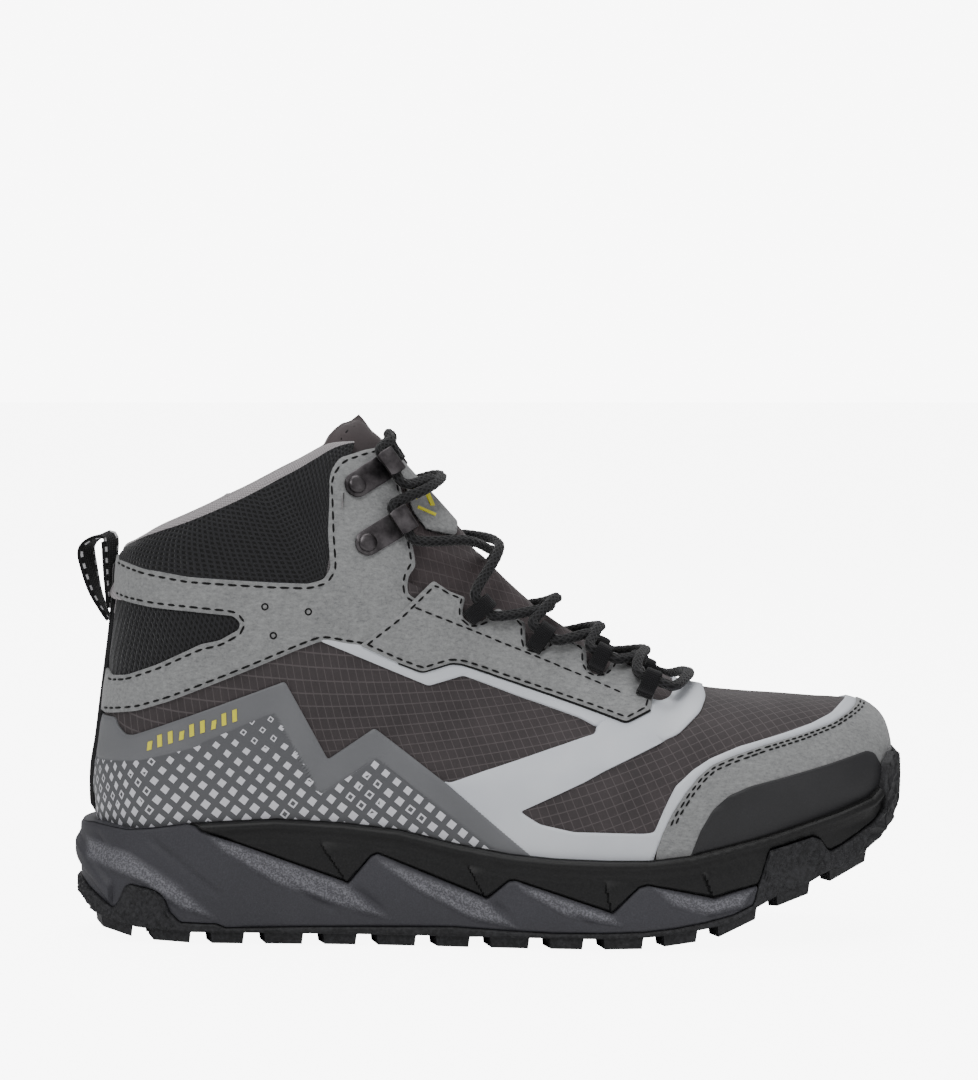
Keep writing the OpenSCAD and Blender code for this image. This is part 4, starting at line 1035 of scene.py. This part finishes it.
PLAN_BACK, PLAN_FRONT = -151.7, 151.7
BUMPER_LOW = [[145, 39.9], [145.7, 40.3], [147.9, 42.6], [150.1, 48.4], [151.7, 55.7]]
BUMPER_HIGH = [[145, 56], [145.7, 58.3], [146.4, 64.1], [149.3, 67.8], [150.8, 67.3], [151.7, 61.5]]


def sole_half(x, side):
    side = arr(side)
    x = arr(x)
    width = np.where(side < 0, along(FOOT_LATERAL, x), along(FOOT_MEDIAL, x)) + 5
    return width * dome((x - PLAN_BACK) / 50, 2.4) * dome((PLAN_FRONT - x) / 64, 2.6)


def plan_loop(count=900):
    """Evenly spaced points round the sole, from the middle of the heel along the outer side."""
    t = np.linspace(0, math.pi, 3000)
    x = -151.65 * np.cos(t)
    outer = np.stack([x, along(CENTRE_Y, x) - sole_half(x, -1.0)], 1)
    inner = np.stack([x, along(CENTRE_Y, x) + sole_half(x, 1.0)], 1)[::-1]
    loop = np.concatenate([outer, inner])
    loop = np.concatenate([loop, loop[:1]])
    d = np.concatenate([[0], np.cumsum(np.linalg.norm(np.diff(loop, axis=0), axis=1))])
    at = np.linspace(0, d[-1], count + 1)[:-1]
    p = np.stack([np.interp(at, d, loop[:, 0]), np.interp(at, d, loop[:, 1])], 1)
    tangent = np.roll(p, -1, axis=0) - np.roll(p, 1, axis=0)
    tangent /= np.linalg.norm(tangent, axis=1)[:, None]
    normal = np.stack([tangent[:, 1], -tangent[:, 0]], 1)
    return p, normal


PLAN, PLAN_NORMAL = plan_loop()


def sole_top_at(x):
    return np.where(arr(x) > 145, linear(BUMPER_HIGH, x), linear(SOLE_TOP, x))


def zigzag_at(x):
    return np.where(arr(x) < ZIGZAG[0][0], sole_top_at(x), linear(ZIGZAG, x))


def facet_noise(p, scale):
    """Even, angular relief from two sets of slanting ridges."""
    a = p[:, 0] * 0.62 + p[:, 1] * 0.78
    b = p[:, 0] * 0.95 - p[:, 1] * 0.31
    wa = np.abs(((a / scale) % 1) - 0.5) * 2
    wb = np.abs(((b / (scale * 1.7)) % 1) - 0.5) * 2
    return np.maximum(wa, wb * 0.9)


def creases(q):
    """Depth of the long slanting folds in the lower midsole."""
    depth = np.zeros(len(q))
    for x, z, lean, length in ((-104, 42, -0.62, 60), (-51.4, 22.6, -0.75, 20), (-42.9, 32.4, -0.52, 45),
                               (-1.2, 18, -0.7, 14), (9.3, 24.6, -0.55, 36), (44, 13.3, -0.6, 8),
                               (57, 23.3, -0.5, 30), (-126, 40, -0.8, 40), (-78, 31, -0.6, 38)):
        d = np.array([1, lean]) / math.hypot(1, lean)
        rel = q - [x, z]
        t = rel @ d
        off = np.abs(rel @ np.array([-d[1], d[0]]))
        fade = smooth(t / 6) * (1 - smooth((t - length + 10) / 10))
        depth += fade * np.exp(-(off / 1.3) ** 2)
    return depth


def wall(name, low, high, relief, material, x_from=-152, x_to=152, stands_for=(), lip=9.0, lift=0.0,
         rows=22, corner=1.3, with_painted_highlight=False):
    """Part of the sole's side: a solid band between two heights, with relief(x, z, t)."""
    p = PLAN
    zl, zh = low(p[:, 0]), high(p[:, 0])
    inside_x = (p[:, 0] >= x_from) & (p[:, 0] <= x_to) & (zh - zl > 0.35)
    n = len(p)
    ts = np.concatenate([[0, 0.0], np.linspace(0, 1, rows), [1.0, 1.0]])
    grid = []
    for k, t in enumerate(ts):
        z = zl + (zh - zl) * t
        if k == 0 or k == len(ts) - 1:
            out = np.full(n, -lip)
        elif k == 1 or k == len(ts) - 2:
            out = np.full(n, -corner)
        else:
            edge = np.minimum(t, 1 - t) * (zh - zl)
            q = np.stack([p[:, 0] + 0.9 * np.abs(p[:, 1]) * (np.abs(p[:, 0]) > 138), z], 1)
            out = lift + relief(q, t, zh - zl) - corner * np.clip(1 - edge / corner, 0, 1) ** 2
        grid.append(np.column_stack([p + PLAN_NORMAL * out[:, None], z]))
    grid = np.array(grid).transpose(1, 0, 2)
    rows_total = len(ts)
    runs, run = [], []
    start = int(np.nonzero(~inside_x)[0][0]) if (~inside_x).any() else 0
    for k in range(n + (1 if inside_x.all() else 0)):
        i = (start + k) % n
        if inside_x[i]:
            run.append(i)
        elif run:
            runs.append(run)
            run = []
    if run:
        runs.append(run)
    verts, faces = [], []
    for run in runs:
        base = len(verts)
        for i in run:
            verts += list(grid[i])
        for a in range(len(run) - 1):
            for j in range(rows_total - 1):
                i0 = base + a * rows_total + j
                faces.append((i0, i0 + rows_total, i0 + rows_total + 1, i0 + 1))
            i0 = base + a * rows_total
            faces.append((i0 + rows_total - 1, i0 + 2 * rows_total - 1, i0 + rows_total, i0))
        if not inside_x.all():
            faces.append(tuple(base + j for j in range(rows_total)))
            e = base + (len(run) - 1) * rows_total
            faces.append(tuple(e + j for j in range(rows_total))[::-1])
    obj = add_piece(name, verts, faces, material)
    obj.data.set_sharp_from_angle(angle=math.radians(38))
    # the blade faces get a painted highlight through a mesh attribute
    if with_painted_highlight:
        float_attribute(obj, "painted_highlight", blade_height(np.array(verts)[:, [0, 2]]))
    if stands_for:
        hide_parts(*stands_for)
    return obj


# Raised blades of the lower midsole: each runs from a peak of the zigzag down to a point
BLADES = [[[-104.4, 41.5], [-51.4, 23], [-44, 16.5], [-34.7, 9.2], [-47, 11.5], [-60, 15.5], [-78, 22], [-97, 33]],
          [[-42.9, 33], [-1.2, 18.4], [5, 12.5], [11.7, 6.5], [-5.9, 9.6], [-27.7, 20.5], [-39.4, 29.1]],
          [[8.9, 25], [44.4, 13.7], [49.4, 8], [40, 9.2], [26.9, 11.9], [11.3, 20.5]],
          [[57.2, 23.6], [80.6, 18.8], [97, 22.6], [92, 14.5], [78, 11.5], [66, 15.5]],
          [[-149, 38], [-131, 33], [-113, 22], [-98, 8.5], [-112, 12], [-126, 21], [-148, 29]]]


def blade_height(q):
    """1 on a blade's face, falling to 0 at its edges: sharp above, soft below."""
    height = np.zeros(len(q))
    for blade in BLADES:
        loop = np.array(blade, float)
        within = inside(q, loop)
        if within.any():
            d = nearest(q[within], dense(loop, 0.5))
            height[within] = np.maximum(height[within], np.clip(d / 2.2, 0, 1))
    return height


def lower_relief(q, t, height):
    return -0.9 - 1.0 * creases(q) + 1.9 * blade_height(q) + 0.3 * facet_noise(q, 30.0) + 0.4 * math.sin(math.pi * t)


def frame_relief(q, t, height):
    ribs = 0.5 * (1 - np.abs(((q[:, 0] * 0.9 + q[:, 1] * 0.7) / 4.6 % 1) - 0.5) * 2)
    toward_toe = smooth((q[:, 0] - 60) / 20) * (1 - smooth((q[:, 0] - 112) / 12))
    below = height * (1 - t)
    lip = 0.9 * np.exp(-((below - 2.4) / 1.7) ** 2) - 0.5 * np.exp(-((below - 6.5) / 2.0) ** 2)
    folds = np.zeros(len(q))
    for x, z, top_x, top_z in ((-51.4, 22.6, -64, 41), (-1.2, 18, -9.5, 33), (44, 13.3, 41, 27), (80.6, 18.6, 76, 30)):
        d = np.array([top_x - x, top_z - z], float)
        length = np.linalg.norm(d)
        d /= length
        rel = q - [x, z]
        along_it = rel @ d
        off = rel @ np.array([d[1], -d[0]])
        ramp = np.clip(1 - off / 9.0, 0, 1) * (off > 0)
        folds += 1.5 * ramp * smooth((along_it + 2) / 3) * (1 - smooth((along_it - length * 0.5) / (length * 0.5)))
    return -0.8 + lip + folds + 0.7 * ribs * toward_toe


def rubber_relief(q, t, height):
    cell = np.maximum(np.abs(((q[:, 0] + 0.58 * q[:, 1]) / 4.6 % 1) - 0.5),
                      np.abs(((q[:, 0] - 0.58 * q[:, 1]) / 4.6 % 1) - 0.5))
    smooth_box = (np.abs(q[:, 0] - 112.6) < 4.2) & (np.abs(q[:, 1] - 27.0) < 2.8)
    textured = smooth((q[:, 0] - 97) / 3) + smooth((-112 - q[:, 0]) / 3)
    return 0.25 + np.where(smooth_box, 0.2, 0.9 * np.clip((cell - 0.3) * 5, 0, 1) * np.clip(textured, 0, 1))


# the lower midsole carries a painted highlight on its blade faces
wall("lower_midsole", lambda x: linear(RUBBER_TOP, np.minimum(x, 97.4)) - 0.4, zigzag_at, lower_relief, SLATE_FOAM,
     x_to=97, stands_for=["midsole_lower"], rows=40, with_painted_highlight=True)
wall("midsole_rim", lambda x: np.where(arr(x) > 97.4, linear(BUMPER_EDGE, x), zigzag_at(x)), sole_top_at, frame_relief,
     BLACK_FOAM, x_from=-109, x_to=144.5, stands_for=["midsole_frame"], lift=0.3, rows=34)


def rubber_low(x):
    return np.where(arr(x) > 145, linear(BUMPER_LOW, x), along(TREAD_CURVE, x)) + 0.1


def rubber_high(x):
    x = arr(x)
    return np.where(x > 145, linear(BUMPER_HIGH, x), np.where(x > 97.4, linear(BUMPER_EDGE, x), linear(RUBBER_TOP, x)))


wall("outsole_side", rubber_low, rubber_high, rubber_relief, RUBBER, lip=3.0, rows=24, corner=0.7)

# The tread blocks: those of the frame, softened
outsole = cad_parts["outsole"]
bevel = outsole.modifiers.new("softened", "BEVEL")
bevel.width = 0.0006
bevel.segments = 2
bevel.limit_method = "ANGLE"
bevel.angle_limit = math.radians(40)

# ---------------------------------------------------------------- padded collar

COLLAR_LOW = [[-138.5, 137.5], [-132, 135.5], [-124, 133.5], [-108.5, 131.5], [-92.5, 130], [-80, 129.2],
              [-65, 128.5], [-59.5, 131], [-57.5, 143], [-57.5, 162], [-52, 172]]
COLLAR_HIGH = [[-134.5, 144.5], [-129.5, 147], [-124, 150], [-108.5, 156], [-92.5, 163], [-84, 167.2], [-77, 171],
               [-70, 174.6], [-63, 178.6], [-56.5, 181.8], [-49, 182.2]]
COLLAR_THICK = 8.2
INNER_DROP = 26.0


def collar():
    """Rolled and padded top line, from the front on the outer side round the heel to the inner side."""
    count = 60
    t = np.linspace(0, 10, count)
    low = locate(np.stack([np.interp(t, range(11), [q[i] for q in COLLAR_LOW]) for i in (0, 1)], 1))
    high_xz = smooth_path([[q[0], 0, q[1]] for q in COLLAR_HIGH], 1.0)[0]
    ts = np.linspace(0, 1, len(high_xz))
    tt = np.linspace(0, 1, count)
    high = locate(np.stack([np.interp(tt, ts, high_xz[:, 0]), np.interp(tt, ts, high_xz[:, 2])], 1))
    low[:, 1], high[:, 1] = np.minimum(low[:, 1], 0.96), np.minimum(high[:, 1], 0.96)
    stations = [(low[i], high[i], -1, tt[i]) for i in range(count - 1, -1, -1)]
    stations += [((low[0][0], HEEL_WRAP), (high[0][0], HEEL_WRAP), 1, 0.0)]
    stations += [(low[i], high[i], 1, tt[i]) for i in range(1, count)]
    rings, uvs = [], []
    run = 0.0
    previous = None
    for lo, hi, side, where in stations:
        lo, hi = np.asarray(lo, float), np.asarray(hi, float)
        thick = COLLAR_THICK * (1 - smooth((where - 0.9) / 0.1) * 0.62)
        fat = 2.0 * (1 - smooth((where - 0.86) / 0.14))
        vs = np.linspace(0, 1, 12)
        s = lo[0] + (hi[0] - lo[0]) * vs
        u = (lo[1] + (hi[1] - lo[1]) * vs) * side
        base = form_at(s, u)
        n = normal_at(s, u)
        top, up = base[-1], base[-1] - base[-3]
        up = up / np.linalg.norm(up)
        bulge = fat * np.sin(math.pi * np.clip(vs, 0, 1)) ** 0.8 * 0.9
        wrinkle = 0.25 * np.sin(where * 37 + vs * 5.5) * np.sin(math.pi * vs)
        outer = base + n * (0.1 + bulge + wrinkle)[:, None]
        length = np.linalg.norm(top - base[0])
        shrink = np.clip(1 - (thick * 0.42) / max(length, 1e-6), 0.2, 1)
        outer = outer[0] + (outer - outer[0]) * np.stack([np.full(12, shrink)] * 3, 1)
        tip = outer[-1]
        nn = n[-1]
        centre = tip - nn * thick / 2
        roll = [centre + nn * math.cos(a) * thick / 2 + up * math.sin(a) * thick * 0.52
                for a in np.linspace(0, math.pi, 13)[1:-1]]
        inner_start = tip - nn * thick
        inner = []
        for v in np.linspace(0, 1, 12):
            drop = INNER_DROP * v
            puff_in = 1.7 * math.sin(math.pi * min(v * 1.1, 1)) * (1 - smooth((where - 0.86) / 0.14))
            inner.append(inner_start - up * drop - nn * puff_in * 0.8 + nn * 3.0 * smooth((v - 0.7) / 0.3))
        under = [inner[-1] + nn * (thick - 3.6) * 0.5, base[0] - nn * 1.2]
        ring = list(outer) + roll + inner + under
        here = np.array(ring)
        if previous is not None:
            run += np.linalg.norm(here[11] - previous)
        previous = here[11]
        lengths = np.concatenate([[0], np.cumsum(np.linalg.norm(np.diff(here, axis=0), axis=1))])
        rings.append(here)
        uvs.append([(run * MM, q * MM) for q in lengths])
    obj = loft("collar", rings, FINE_MESH, uvs=uvs)
    obj.data.materials.append(LINING)
    r = len(rings[0])
    for poly in obj.data.polygons:
        js = [v % r for v in poly.vertices]
        if len(js) == 4 and min(js) >= 12:
            poly.material_index = 1
    obj.data.set_sharp_from_angle(angle=math.radians(60))
    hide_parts("collar_mesh", "collar_lining", "collar_foam")


collar()

# ---------------------------------------------------------------- tongue


def tongue_relief(s, u, p, dist):
    # Thicker along the middle, with soft cross folds between the pads
    middle = 1 - smooth((np.abs(u) - 0.05) / 0.1)
    folds = np.zeros(len(s))
    for at in (1.1, 3.7, 5.6, 7.2, 8.7):
        folds += np.exp(-((s - at) / 0.16) ** 2)
    round_top = -2.6 * (1 - smooth(dist / 3.2)) ** 2
    return 1.1 * middle * (s < 9.5) - 0.9 * folds * middle + round_top


finish_piece(panel("tongue_pad", TONGUE_EDGE, -3.8, 5.2, TONGUE_CLOTH, stands_for=["tongue"], edge_drop=0.3,
                   edge_width=2.0, puff=0.9, puff_width=7, grid=3.0, relief=tongue_relief, body="tongue_unit"))
finish_piece(panel("tongue_patch", PATCH_EDGE, -0.9, 1.2, NUBUCK, stands_for=["tongue_badge"], edge_width=1.2,
                   edge_drop=0.5, grid=2.6, body="tongue_unit"))
stitches("tongue_patch_thread", PATCH_EDGE[1:-1], -0.75, 1.3, 3.2, 2.1, 0.36, body="tongue_unit", turn=1)

# ---------------------------------------------------------------- footbed, pull loop and piping

FLOOR_CURVE = [[-139, 37], [-100, 35], [-45, 34], [15, 27], [70, 26], [107, 34.5], [130, 42], [142, 48], [152, 56]]


def footbed():
    """Shaped insole with a rounded edge and a slightly cupped top."""
    xs = 2 - 136.9 * np.cos(np.linspace(0.04, math.pi - 0.04, 70))
    rings, uvs = [], []
    for x in xs:
        half = [float((along(t, x)[0] - 6) * dome((x + 135) / 50, 2.4) * dome((139 - x) / 64, 2.6))
                for t in (FOOT_LATERAL, FOOT_MEDIAL)]
        z = float(along(FLOOR_CURVE, x)[0]) + 1.9
        cy = float(along(CENTRE_Y, x)[0])
        ring = []
        for side, k in [(-1, v) for v in np.linspace(1, 0, 11)] + [(1, v) for v in np.linspace(0.1, 1, 10)]:
            w = half[0] if side < 0 else half[1]
            cup = 1.2 * k ** 3 * (1 - smooth((x - 20) / 60))
            edge = 1.6 * max(0.0, k - 0.93) / 0.07
            ring.append((x, cy + side * w * k, z + 5 + cup * 0.6 - edge))
        low = [(x, cy + half[1] * 0.98, z + 0.2), (x, cy, z), (x, cy - half[0] * 0.98, z + 0.2)]
        rings.append(ring + low)
        uvs.append([(x * MM, (p[1]) * MM) for p in ring + low])
    obj = loft("footbed_pad", rings, FOOTBED_CLOTH, "insole", uvs=uvs)
    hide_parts("footbed")


footbed()


def pull_loop():
    path = [[-140.7, 0, 115.5], [-143.3, 0, 120.4], [-146, 0, 126.8], [-148.2, 0, 135.5], [-149, 0, 141.2],
            [-146.8, 0, 144.7], [-142.6, 0, 146.6], [-140.4, 0, 145.4], [-140.2, 0, 139], [-140.5, 0, 128],
            [-140.6, 0, 120]]
    line, dist = smooth_path(path, 1.0)
    turn = np.sin(dist / dist[-1] * math.pi)
    across = np.stack([0.5 * turn, np.ones(len(line)), 0.12 * turn], 1)
    obj = strip("pull_webbing", line, across, 12.0, 1.7, PULL, "pull")
    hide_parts("pull_loop")


pull_loop()


def piping():
    """Bound strip up the back of the heel, with a rib on each side."""
    zs = np.linspace(44, 139, 60)
    rings, uvs = [], []
    for z in zs:
        x = float(along(HEEL_BACK, z)[0])
        ends = smooth((z - 44) / 4) * smooth((139 - z) / 4)
        ring = []
        for y in np.linspace(-4.6, 4.6, 15):
            rib = 0.55 * math.exp(-((abs(y) - 3.4) / 0.7) ** 2)
            ring.append((x - 1.2 - (1.5 * (1 - (abs(y) / 4.7) ** 3) + rib) * ends + 0.02 * y * y, y, z))
        ring += [(x + 0.6, 4.6, z), (x + 0.6, 0, z), (x + 0.6, -4.6, z)]
        rings.append(ring)
        uvs.append([(z * MM, p[1] * MM) for p in ring])
    obj = loft("heel_piping_strip", rings, PIPING, uvs=uvs)
    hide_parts("heel_piping")


piping()

# ---------------------------------------------------------------- lace, loops and hooks

LACE_RADIUS = 1.9
LOOP_GAP, LOOP_WALL = 0.85, 0.9
LOOP_LIFT = 2.7 + LACE_RADIUS + LOOP_GAP + LOOP_WALL
LOOP_PLACES = [[5.1, 0.215], [6.45, 0.165], [7.95, 0.14], [9.3, 0.17]]
HOOK_PLACES = [[2.04, 0.242], [2.96, 0.3]]
HOOK_STOPS = [[2.04, 0.193], [2.96, 0.258]]
HOOK_LACE = 5.9


def stop(i):
    return LOOP_PLACES[3 - i] if i < 4 else HOOK_STOPS[5 - i]


def pass_stop(i, side):
    s, u = stop(i)
    if i < 4:
        return [[s, side * u, LOOP_LIFT, d * (8.2 if i == 0 and d > 0 else 5.6)] for d in (1, 0, -1)]
    return [[s + d * 0.34, side * u, HOOK_LACE, 0] for d in (1, 0, -1)]


def cross_to(i, side, low):
    a = stop(i)[0] - (0.66 if i < 4 else 0.34)
    b = stop(i + 1)[0] + (0.66 if i + 1 < 4 else 0.34)
    p, q = side * stop(i)[1], -side * stop(i + 1)[1]
    out = []
    for t in (0.25, 0.5, 0.75):
        mid = t == 0.5
        height = (1.3 if low else 5.4) if mid else (4.7 if low else 5.8)
        out.append([a + (b - a) * t, 0 if mid else p + (q - p) * t, height, 0])
    return out


def lace_half(start):
    out = []
    for i in range(6):
        side = start * (1 if i % 2 == 0 else -1)
        out += pass_stop(i, side)
        if i < 5:
            out += cross_to(i, side, (i % 2 == 0) == (start > 0))
    out += [[s, -start * u, h, 0] for s, u, h in ((1.58, 0.13, 5.5), (1.42, 0.09, 3.4), (1.6, 0.085, 1.4),
                                                  (1.95, 0.1, 1.2))]
    return out


LACE_ROUTE = lace_half(-1)[::-1] + [[9.86, -0.09, 4.8, 0], [9.88, 0, 4.2, 0], [9.86, 0.09, 4.8, 0]] + lace_half(1)


def lace():
    pts, ups = [], []
    for s, u, h, d in LACE_ROUTE:
        n, x, _ = frame_at(s, u)
        pts.append(over_form(s, u, h)[0] + x * d)
        ups.append(n)
    line, dist = smooth_path(pts, 0.8)
    ups = smooth_path(ups, 0.02)[0]
    ups = np.stack([np.interp(np.linspace(0, 1, len(line)), np.linspace(0, 1, len(ups)), ups[:, k])
                    for k in range(3)], 1)
    tangent = unit(np.gradient(line, axis=0))
    side = unit(np.cross(tangent, ups))
    up = np.cross(side, tangent)
    sides = 16
    rings, uvs = [], []
    for i in range(len(line)):
        ring = []
        for k in range(sides):
            a = 2 * math.pi * k / sides
            groove = 1 - 0.2 * math.exp(-((abs(math.sin(a)) - 1) / 0.03) ** 2)
            weave = 1 + 0.035 * math.cos(4 * a + dist[i] * 1.6)
            r = LACE_RADIUS * groove * weave
            ring.append(line[i] + side[i] * math.cos(a) * r * 1.04 + up[i] * math.sin(a) * r * 0.94)
        rings.append(ring)
        uvs.append([(dist[i] * MM, k / sides) for k in range(sides)])
    obj = loft("boot_lace", rings, LACE, uvs=uvs)
    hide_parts("lace")


lace()


LOOP_PROFILE = [(-0.5 + k / 6, 0.5) for k in range(7)] + [(0.5 - k / 6, -0.5) for k in range(7)]
LOOP_STEP = 0.7


def lace_loops():
    """Webbing sleeves on the stays, with both ends laid down away from the throat."""
    parts = []
    for side, _ in SIDES:
        for s, u in LOOP_PLACES:
            n, x, y = frame_at(s, side * u)
            out = y * side                      # away from the throat
            c = over_form(s, side * u, LOOP_LIFT)[0]
            r = LACE_RADIUS + 1.0
            path = []
            for a in np.linspace(math.radians(62), math.radians(298), 22):
                path.append(c + out * math.cos(a) * r + n * math.sin(a) * r)
            base = c - n * (LOOP_LIFT - 2.95)
            tail = out * 7.5
            first = [base + tail + n * 0.9, base + out * 4.6 + n * 1.5]
            last = [base + out * 3.0 + n * 0.15, base + tail - n * 0.1]
            line = smooth_path(first + path[::3] + [path[-1]] + last, LOOP_STEP)[0]
            verts = []
            tangent = unit(np.gradient(line, axis=0))
            for i in range(len(line)):
                up = np.cross(tangent[i], x)
                pinch = 1 - 0.1 * smooth((i - 6) / 10) * smooth((len(line) - i) / 8)
                for a, b in LOOP_PROFILE:
                    rib = 0.06 * math.cos(a * 44)
                    verts.append(line[i] + x * a * 6.2 * pinch + up * (b * 0.9 * (1 - 0.4 * (2 * abs(a)) ** 6) + rib))
            parts.append((verts, tube_faces(len(line), len(LOOP_PROFILE))))
    m = len(LOOP_PROFILE)
    uvs = [(i // m * LOOP_STEP * MM, LOOP_PROFILE[i % m][0] + 0.5) for verts, _ in parts for i in range(len(verts))]
    obj = join_meshes("lace_webbing_loops", parts, WEBBING, uvs=uvs)
    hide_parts("lace_loops")


lace_loops()


def hooks():
    """Bent metal hooks: a rounded plate under the rivet, a wall and a flap over the lace."""
    parts, rivets = [], []
    for side, _ in SIDES:
        for s, u in HOOK_PLACES:
            n, _, y = frame_at(s, side * u)
            origin = over_form(s, side * u, 1.6)[0]
            forward = -side * y                # towards the throat
            across = np.cross(n, forward)
            profile = [(-12.15, 0.55), (-11.9, 0.55), (-11.2, 0.55), (-10, 0.55), (-8.6, 0.55), (-7, 0.55), (2, 0.55),
                       (7.2, 0.55)]
            profile += [(9.0 + 1.7 * math.cos(a), 2.25 + 1.7 * math.sin(a)) for a in np.linspace(-1.45, 0, 6)]
            profile += [(9.0 + 1.7 * math.cos(a), 5.15 + 1.7 * math.sin(a)) for a in np.linspace(0, 1.5, 6)]
            profile += [(7.0, 6.95), (5.0, 6.85), (3.4, 6.7)]
            line = np.array(profile)
            tangent = unit(np.gradient(line, axis=0))
            up = np.stack([-tangent[:, 1], tangent[:, 0]], 1)
            verts = []
            ring = [(-0.5, 0.3), (-0.46, 0.5), (0, 0.5), (0.46, 0.5), (0.5, 0.3), (0.5, -0.3), (0.46, -0.5),
                    (0, -0.5), (-0.46, -0.5), (-0.5, -0.3)]
            total = len(line)
            for i, (px, pz) in enumerate(line):
                width = 9.6 if i < total - 1 else 8.6
                if px < -7.5:
                    width = 2 * math.sqrt(max(4.7 ** 2 - (px + 7.5) ** 2, 0.3))
                elif px < 0:
                    width = 9.4
                for a, b in ring:
                    q = [px + up[i][0] * b * 1.1, pz + up[i][1] * b * 1.1]
                    verts.append(origin + forward * q[0] + n * q[1] + across * a * width)
            parts.append((verts, tube_faces(total, len(ring))))
            centre = origin - forward * 7.5
            dome_pts = [(0.0, 2.55), (1.3, 2.5), (2.5, 2.3), (3.2, 1.95), (3.5, 1.5), (3.5, 1.12)]
            verts = []
            count = 28
            for r, h in dome_pts:
                for k in range(count):
                    a = 2 * math.pi * k / count
                    verts.append(centre + forward * math.cos(a) * max(r, 0.01) + across * math.sin(a) * max(r, 0.01)
                                 + n * h)
            rivets.append((verts, tube_faces(len(dome_pts), count)))
    for name, group, node in (("lace_hook_plates", parts, "lace_hooks"), ("hook_rivet_caps", rivets, "hook_rivets")):
        obj = join_meshes(name, group, GUNMETAL)
        face_outward(obj.data)
        obj.data.set_sharp_from_angle(angle=math.radians(40))
        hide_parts(node)


hooks()

# ---------------------------------------------------------------- stitching and small marks

stitches("ankle_thread", ANKLE_EDGE, 1.45, 1.7, 3.5, 2.4, 0.42, closed=True)
stitches("ankle_window_thread", HEEL_WINDOW[:-1], 1.45, -1.7, 3.5, 2.4, 0.42, closed=True)
stitches("toe_cap_thread_outer", TOE_EDGE[1:-1], 1.5, 1.5, 2.5, 1.7, 0.36, turn=-1)
stitches("toe_cap_thread_inner", TOE_EDGE[1:-1], 1.5, 3.0, 2.5, 1.7, 0.36, turn=-1)
stitches("stay_thread", STAY_EDGE, 2.65, 1.5, 3.3, 2.2, 0.4, closed=True)
stitches("stay_inner_thread", [[-27.5, 121.5], [8, 106], [27.5, 97.5], [50, 88]], 2.75, 0.0, 3.3, 2.2, 0.36)
stitches("tongue_edge_thread", TONGUE_EDGE[:6], -3.9, 3.4, 3.4, 2.3, 0.4, body="tongue_unit", turn=-1)


def edge_shadow_cord(name, points, out, radius):
    """A thin dark cord along the underside of an edge, on both sides: a painted shadow line under the edge."""
    line = locate(dense(rounded(points, 1.5, False), 1.2, False))
    for side, word in SIDES:
        p = over_form(line[:, 0], line[:, 1] * side, np.full(len(line), out))
        rings = []
        tangent = unit(np.gradient(p, axis=0))
        n = normal_at(line[:, 0], line[:, 1] * side)
        b = np.cross(tangent, n)
        for i in range(len(p)):
            rings.append([p[i] + n[i] * math.cos(a) * radius + b[i] * math.sin(a) * radius
                          for a in np.linspace(0, 2 * math.pi, 9)[:-1]])
        loft(f"{name}_{word}", rings, THREAD_BLACK)


# painted shadow: a dark cord along the underside of the lace stay's lower edge
edge_shadow_cord("stay_edge_shadow", STAY_LOW, 1.5, 0.55)


def flat_marks(name, shapes, out, body="shell"):
    """Small raised flat shapes on both sides of the upper, from side outlines."""
    for side, word in SIDES:
        parts = []
        for shape in shapes:
            ring = locate(dense(shape, 0.8))
            u = ring[:, 1] * side
            p = over_form(ring[:, 0], u, np.full(len(u), out + 0.25))
            q = over_form(ring[:, 0], u, np.full(len(u), out - 0.3))
            m = len(p)
            faces = [tuple(range(m)), tuple(range(2 * m - 1, m - 1, -1))]
            faces += [(i, i + m, (i + 1) % m + m, (i + 1) % m) for i in range(m)]
            parts.append((np.concatenate([p, q]), faces))
        face_outward(join_meshes(f"{name}_{word}", parts, YELLOW, body, smooth_shade=False).data)


def slanted_bars(start, end, count, size, lean):
    """A row of slanting bars between two points."""
    start, end = np.array(start, float), np.array(end, float)
    d = (end - start) / np.linalg.norm(end - start)
    up = np.array([-d[1], d[0]])
    out = []
    for i in range(count):
        c = start + (end - start) * i / (count - 1)
        w, h = size
        h = h * (1.0 if i % 3 else 0.7)
        out.append([c, c + d * w, c + d * (w + lean) + up * h, c + d * lean + up * h])
    return out


flat_marks("side_bars", slanted_bars((-124, 69.6), (-93, 80.6), 9, (1.7, 4.2), 1.4), 1.35)
PEAK = [[[-27.5, 162], [-23.5, 167.5], [-19.5, 158.5], [-21, 158.5], [-23.5, 164.2], [-26, 161]],
        [[-25.5, 158.6], [-19, 155.6], [-19.3, 154.8], [-25.8, 157.8]]]
flat_marks("patch_peak", PEAK, -0.75, "tongue_unit")


def perforations():
    """Small rims round the air holes of the ankle overlay."""
    parts = []
    for side, _ in SIDES:
        for c in ([-81, 123], [-65.5, 121], [-78, 112.5]):
            s, u = locate([c])[0]
            n, x, y = frame_at(s, side * u)
            p = over_form(s, side * u, 2.05)[0]
            verts = []
            prof = [(1.35, -0.5), (1.35, 0.0), (1.1, 0.22), (0.8, 0.0), (0.75, -0.35), (0.02, -0.4)]
            count = 18
            for r, h in prof:
                for k in range(count):
                    a = 2 * math.pi * k / count
                    verts.append(p + x * math.cos(a) * r + y * math.sin(a) * r + n * h)
            parts.append((verts, tube_faces(len(prof), count)))
    join_meshes("perforation_rings", parts, THREAD_BLACK)


perforations()

# ---------------------------------------------------------------- nodes of the frame that are still shown

CARRIED = {"outsole": RUBBER, "shank": SHANK, "insole_board": FIBRE, "heel_counter": STIFFENER,
           "toe_puff": STIFFENER}
for node, material in CARRIED.items():
    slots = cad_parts[node].data.materials
    slots.clear()
    slots.append(material)
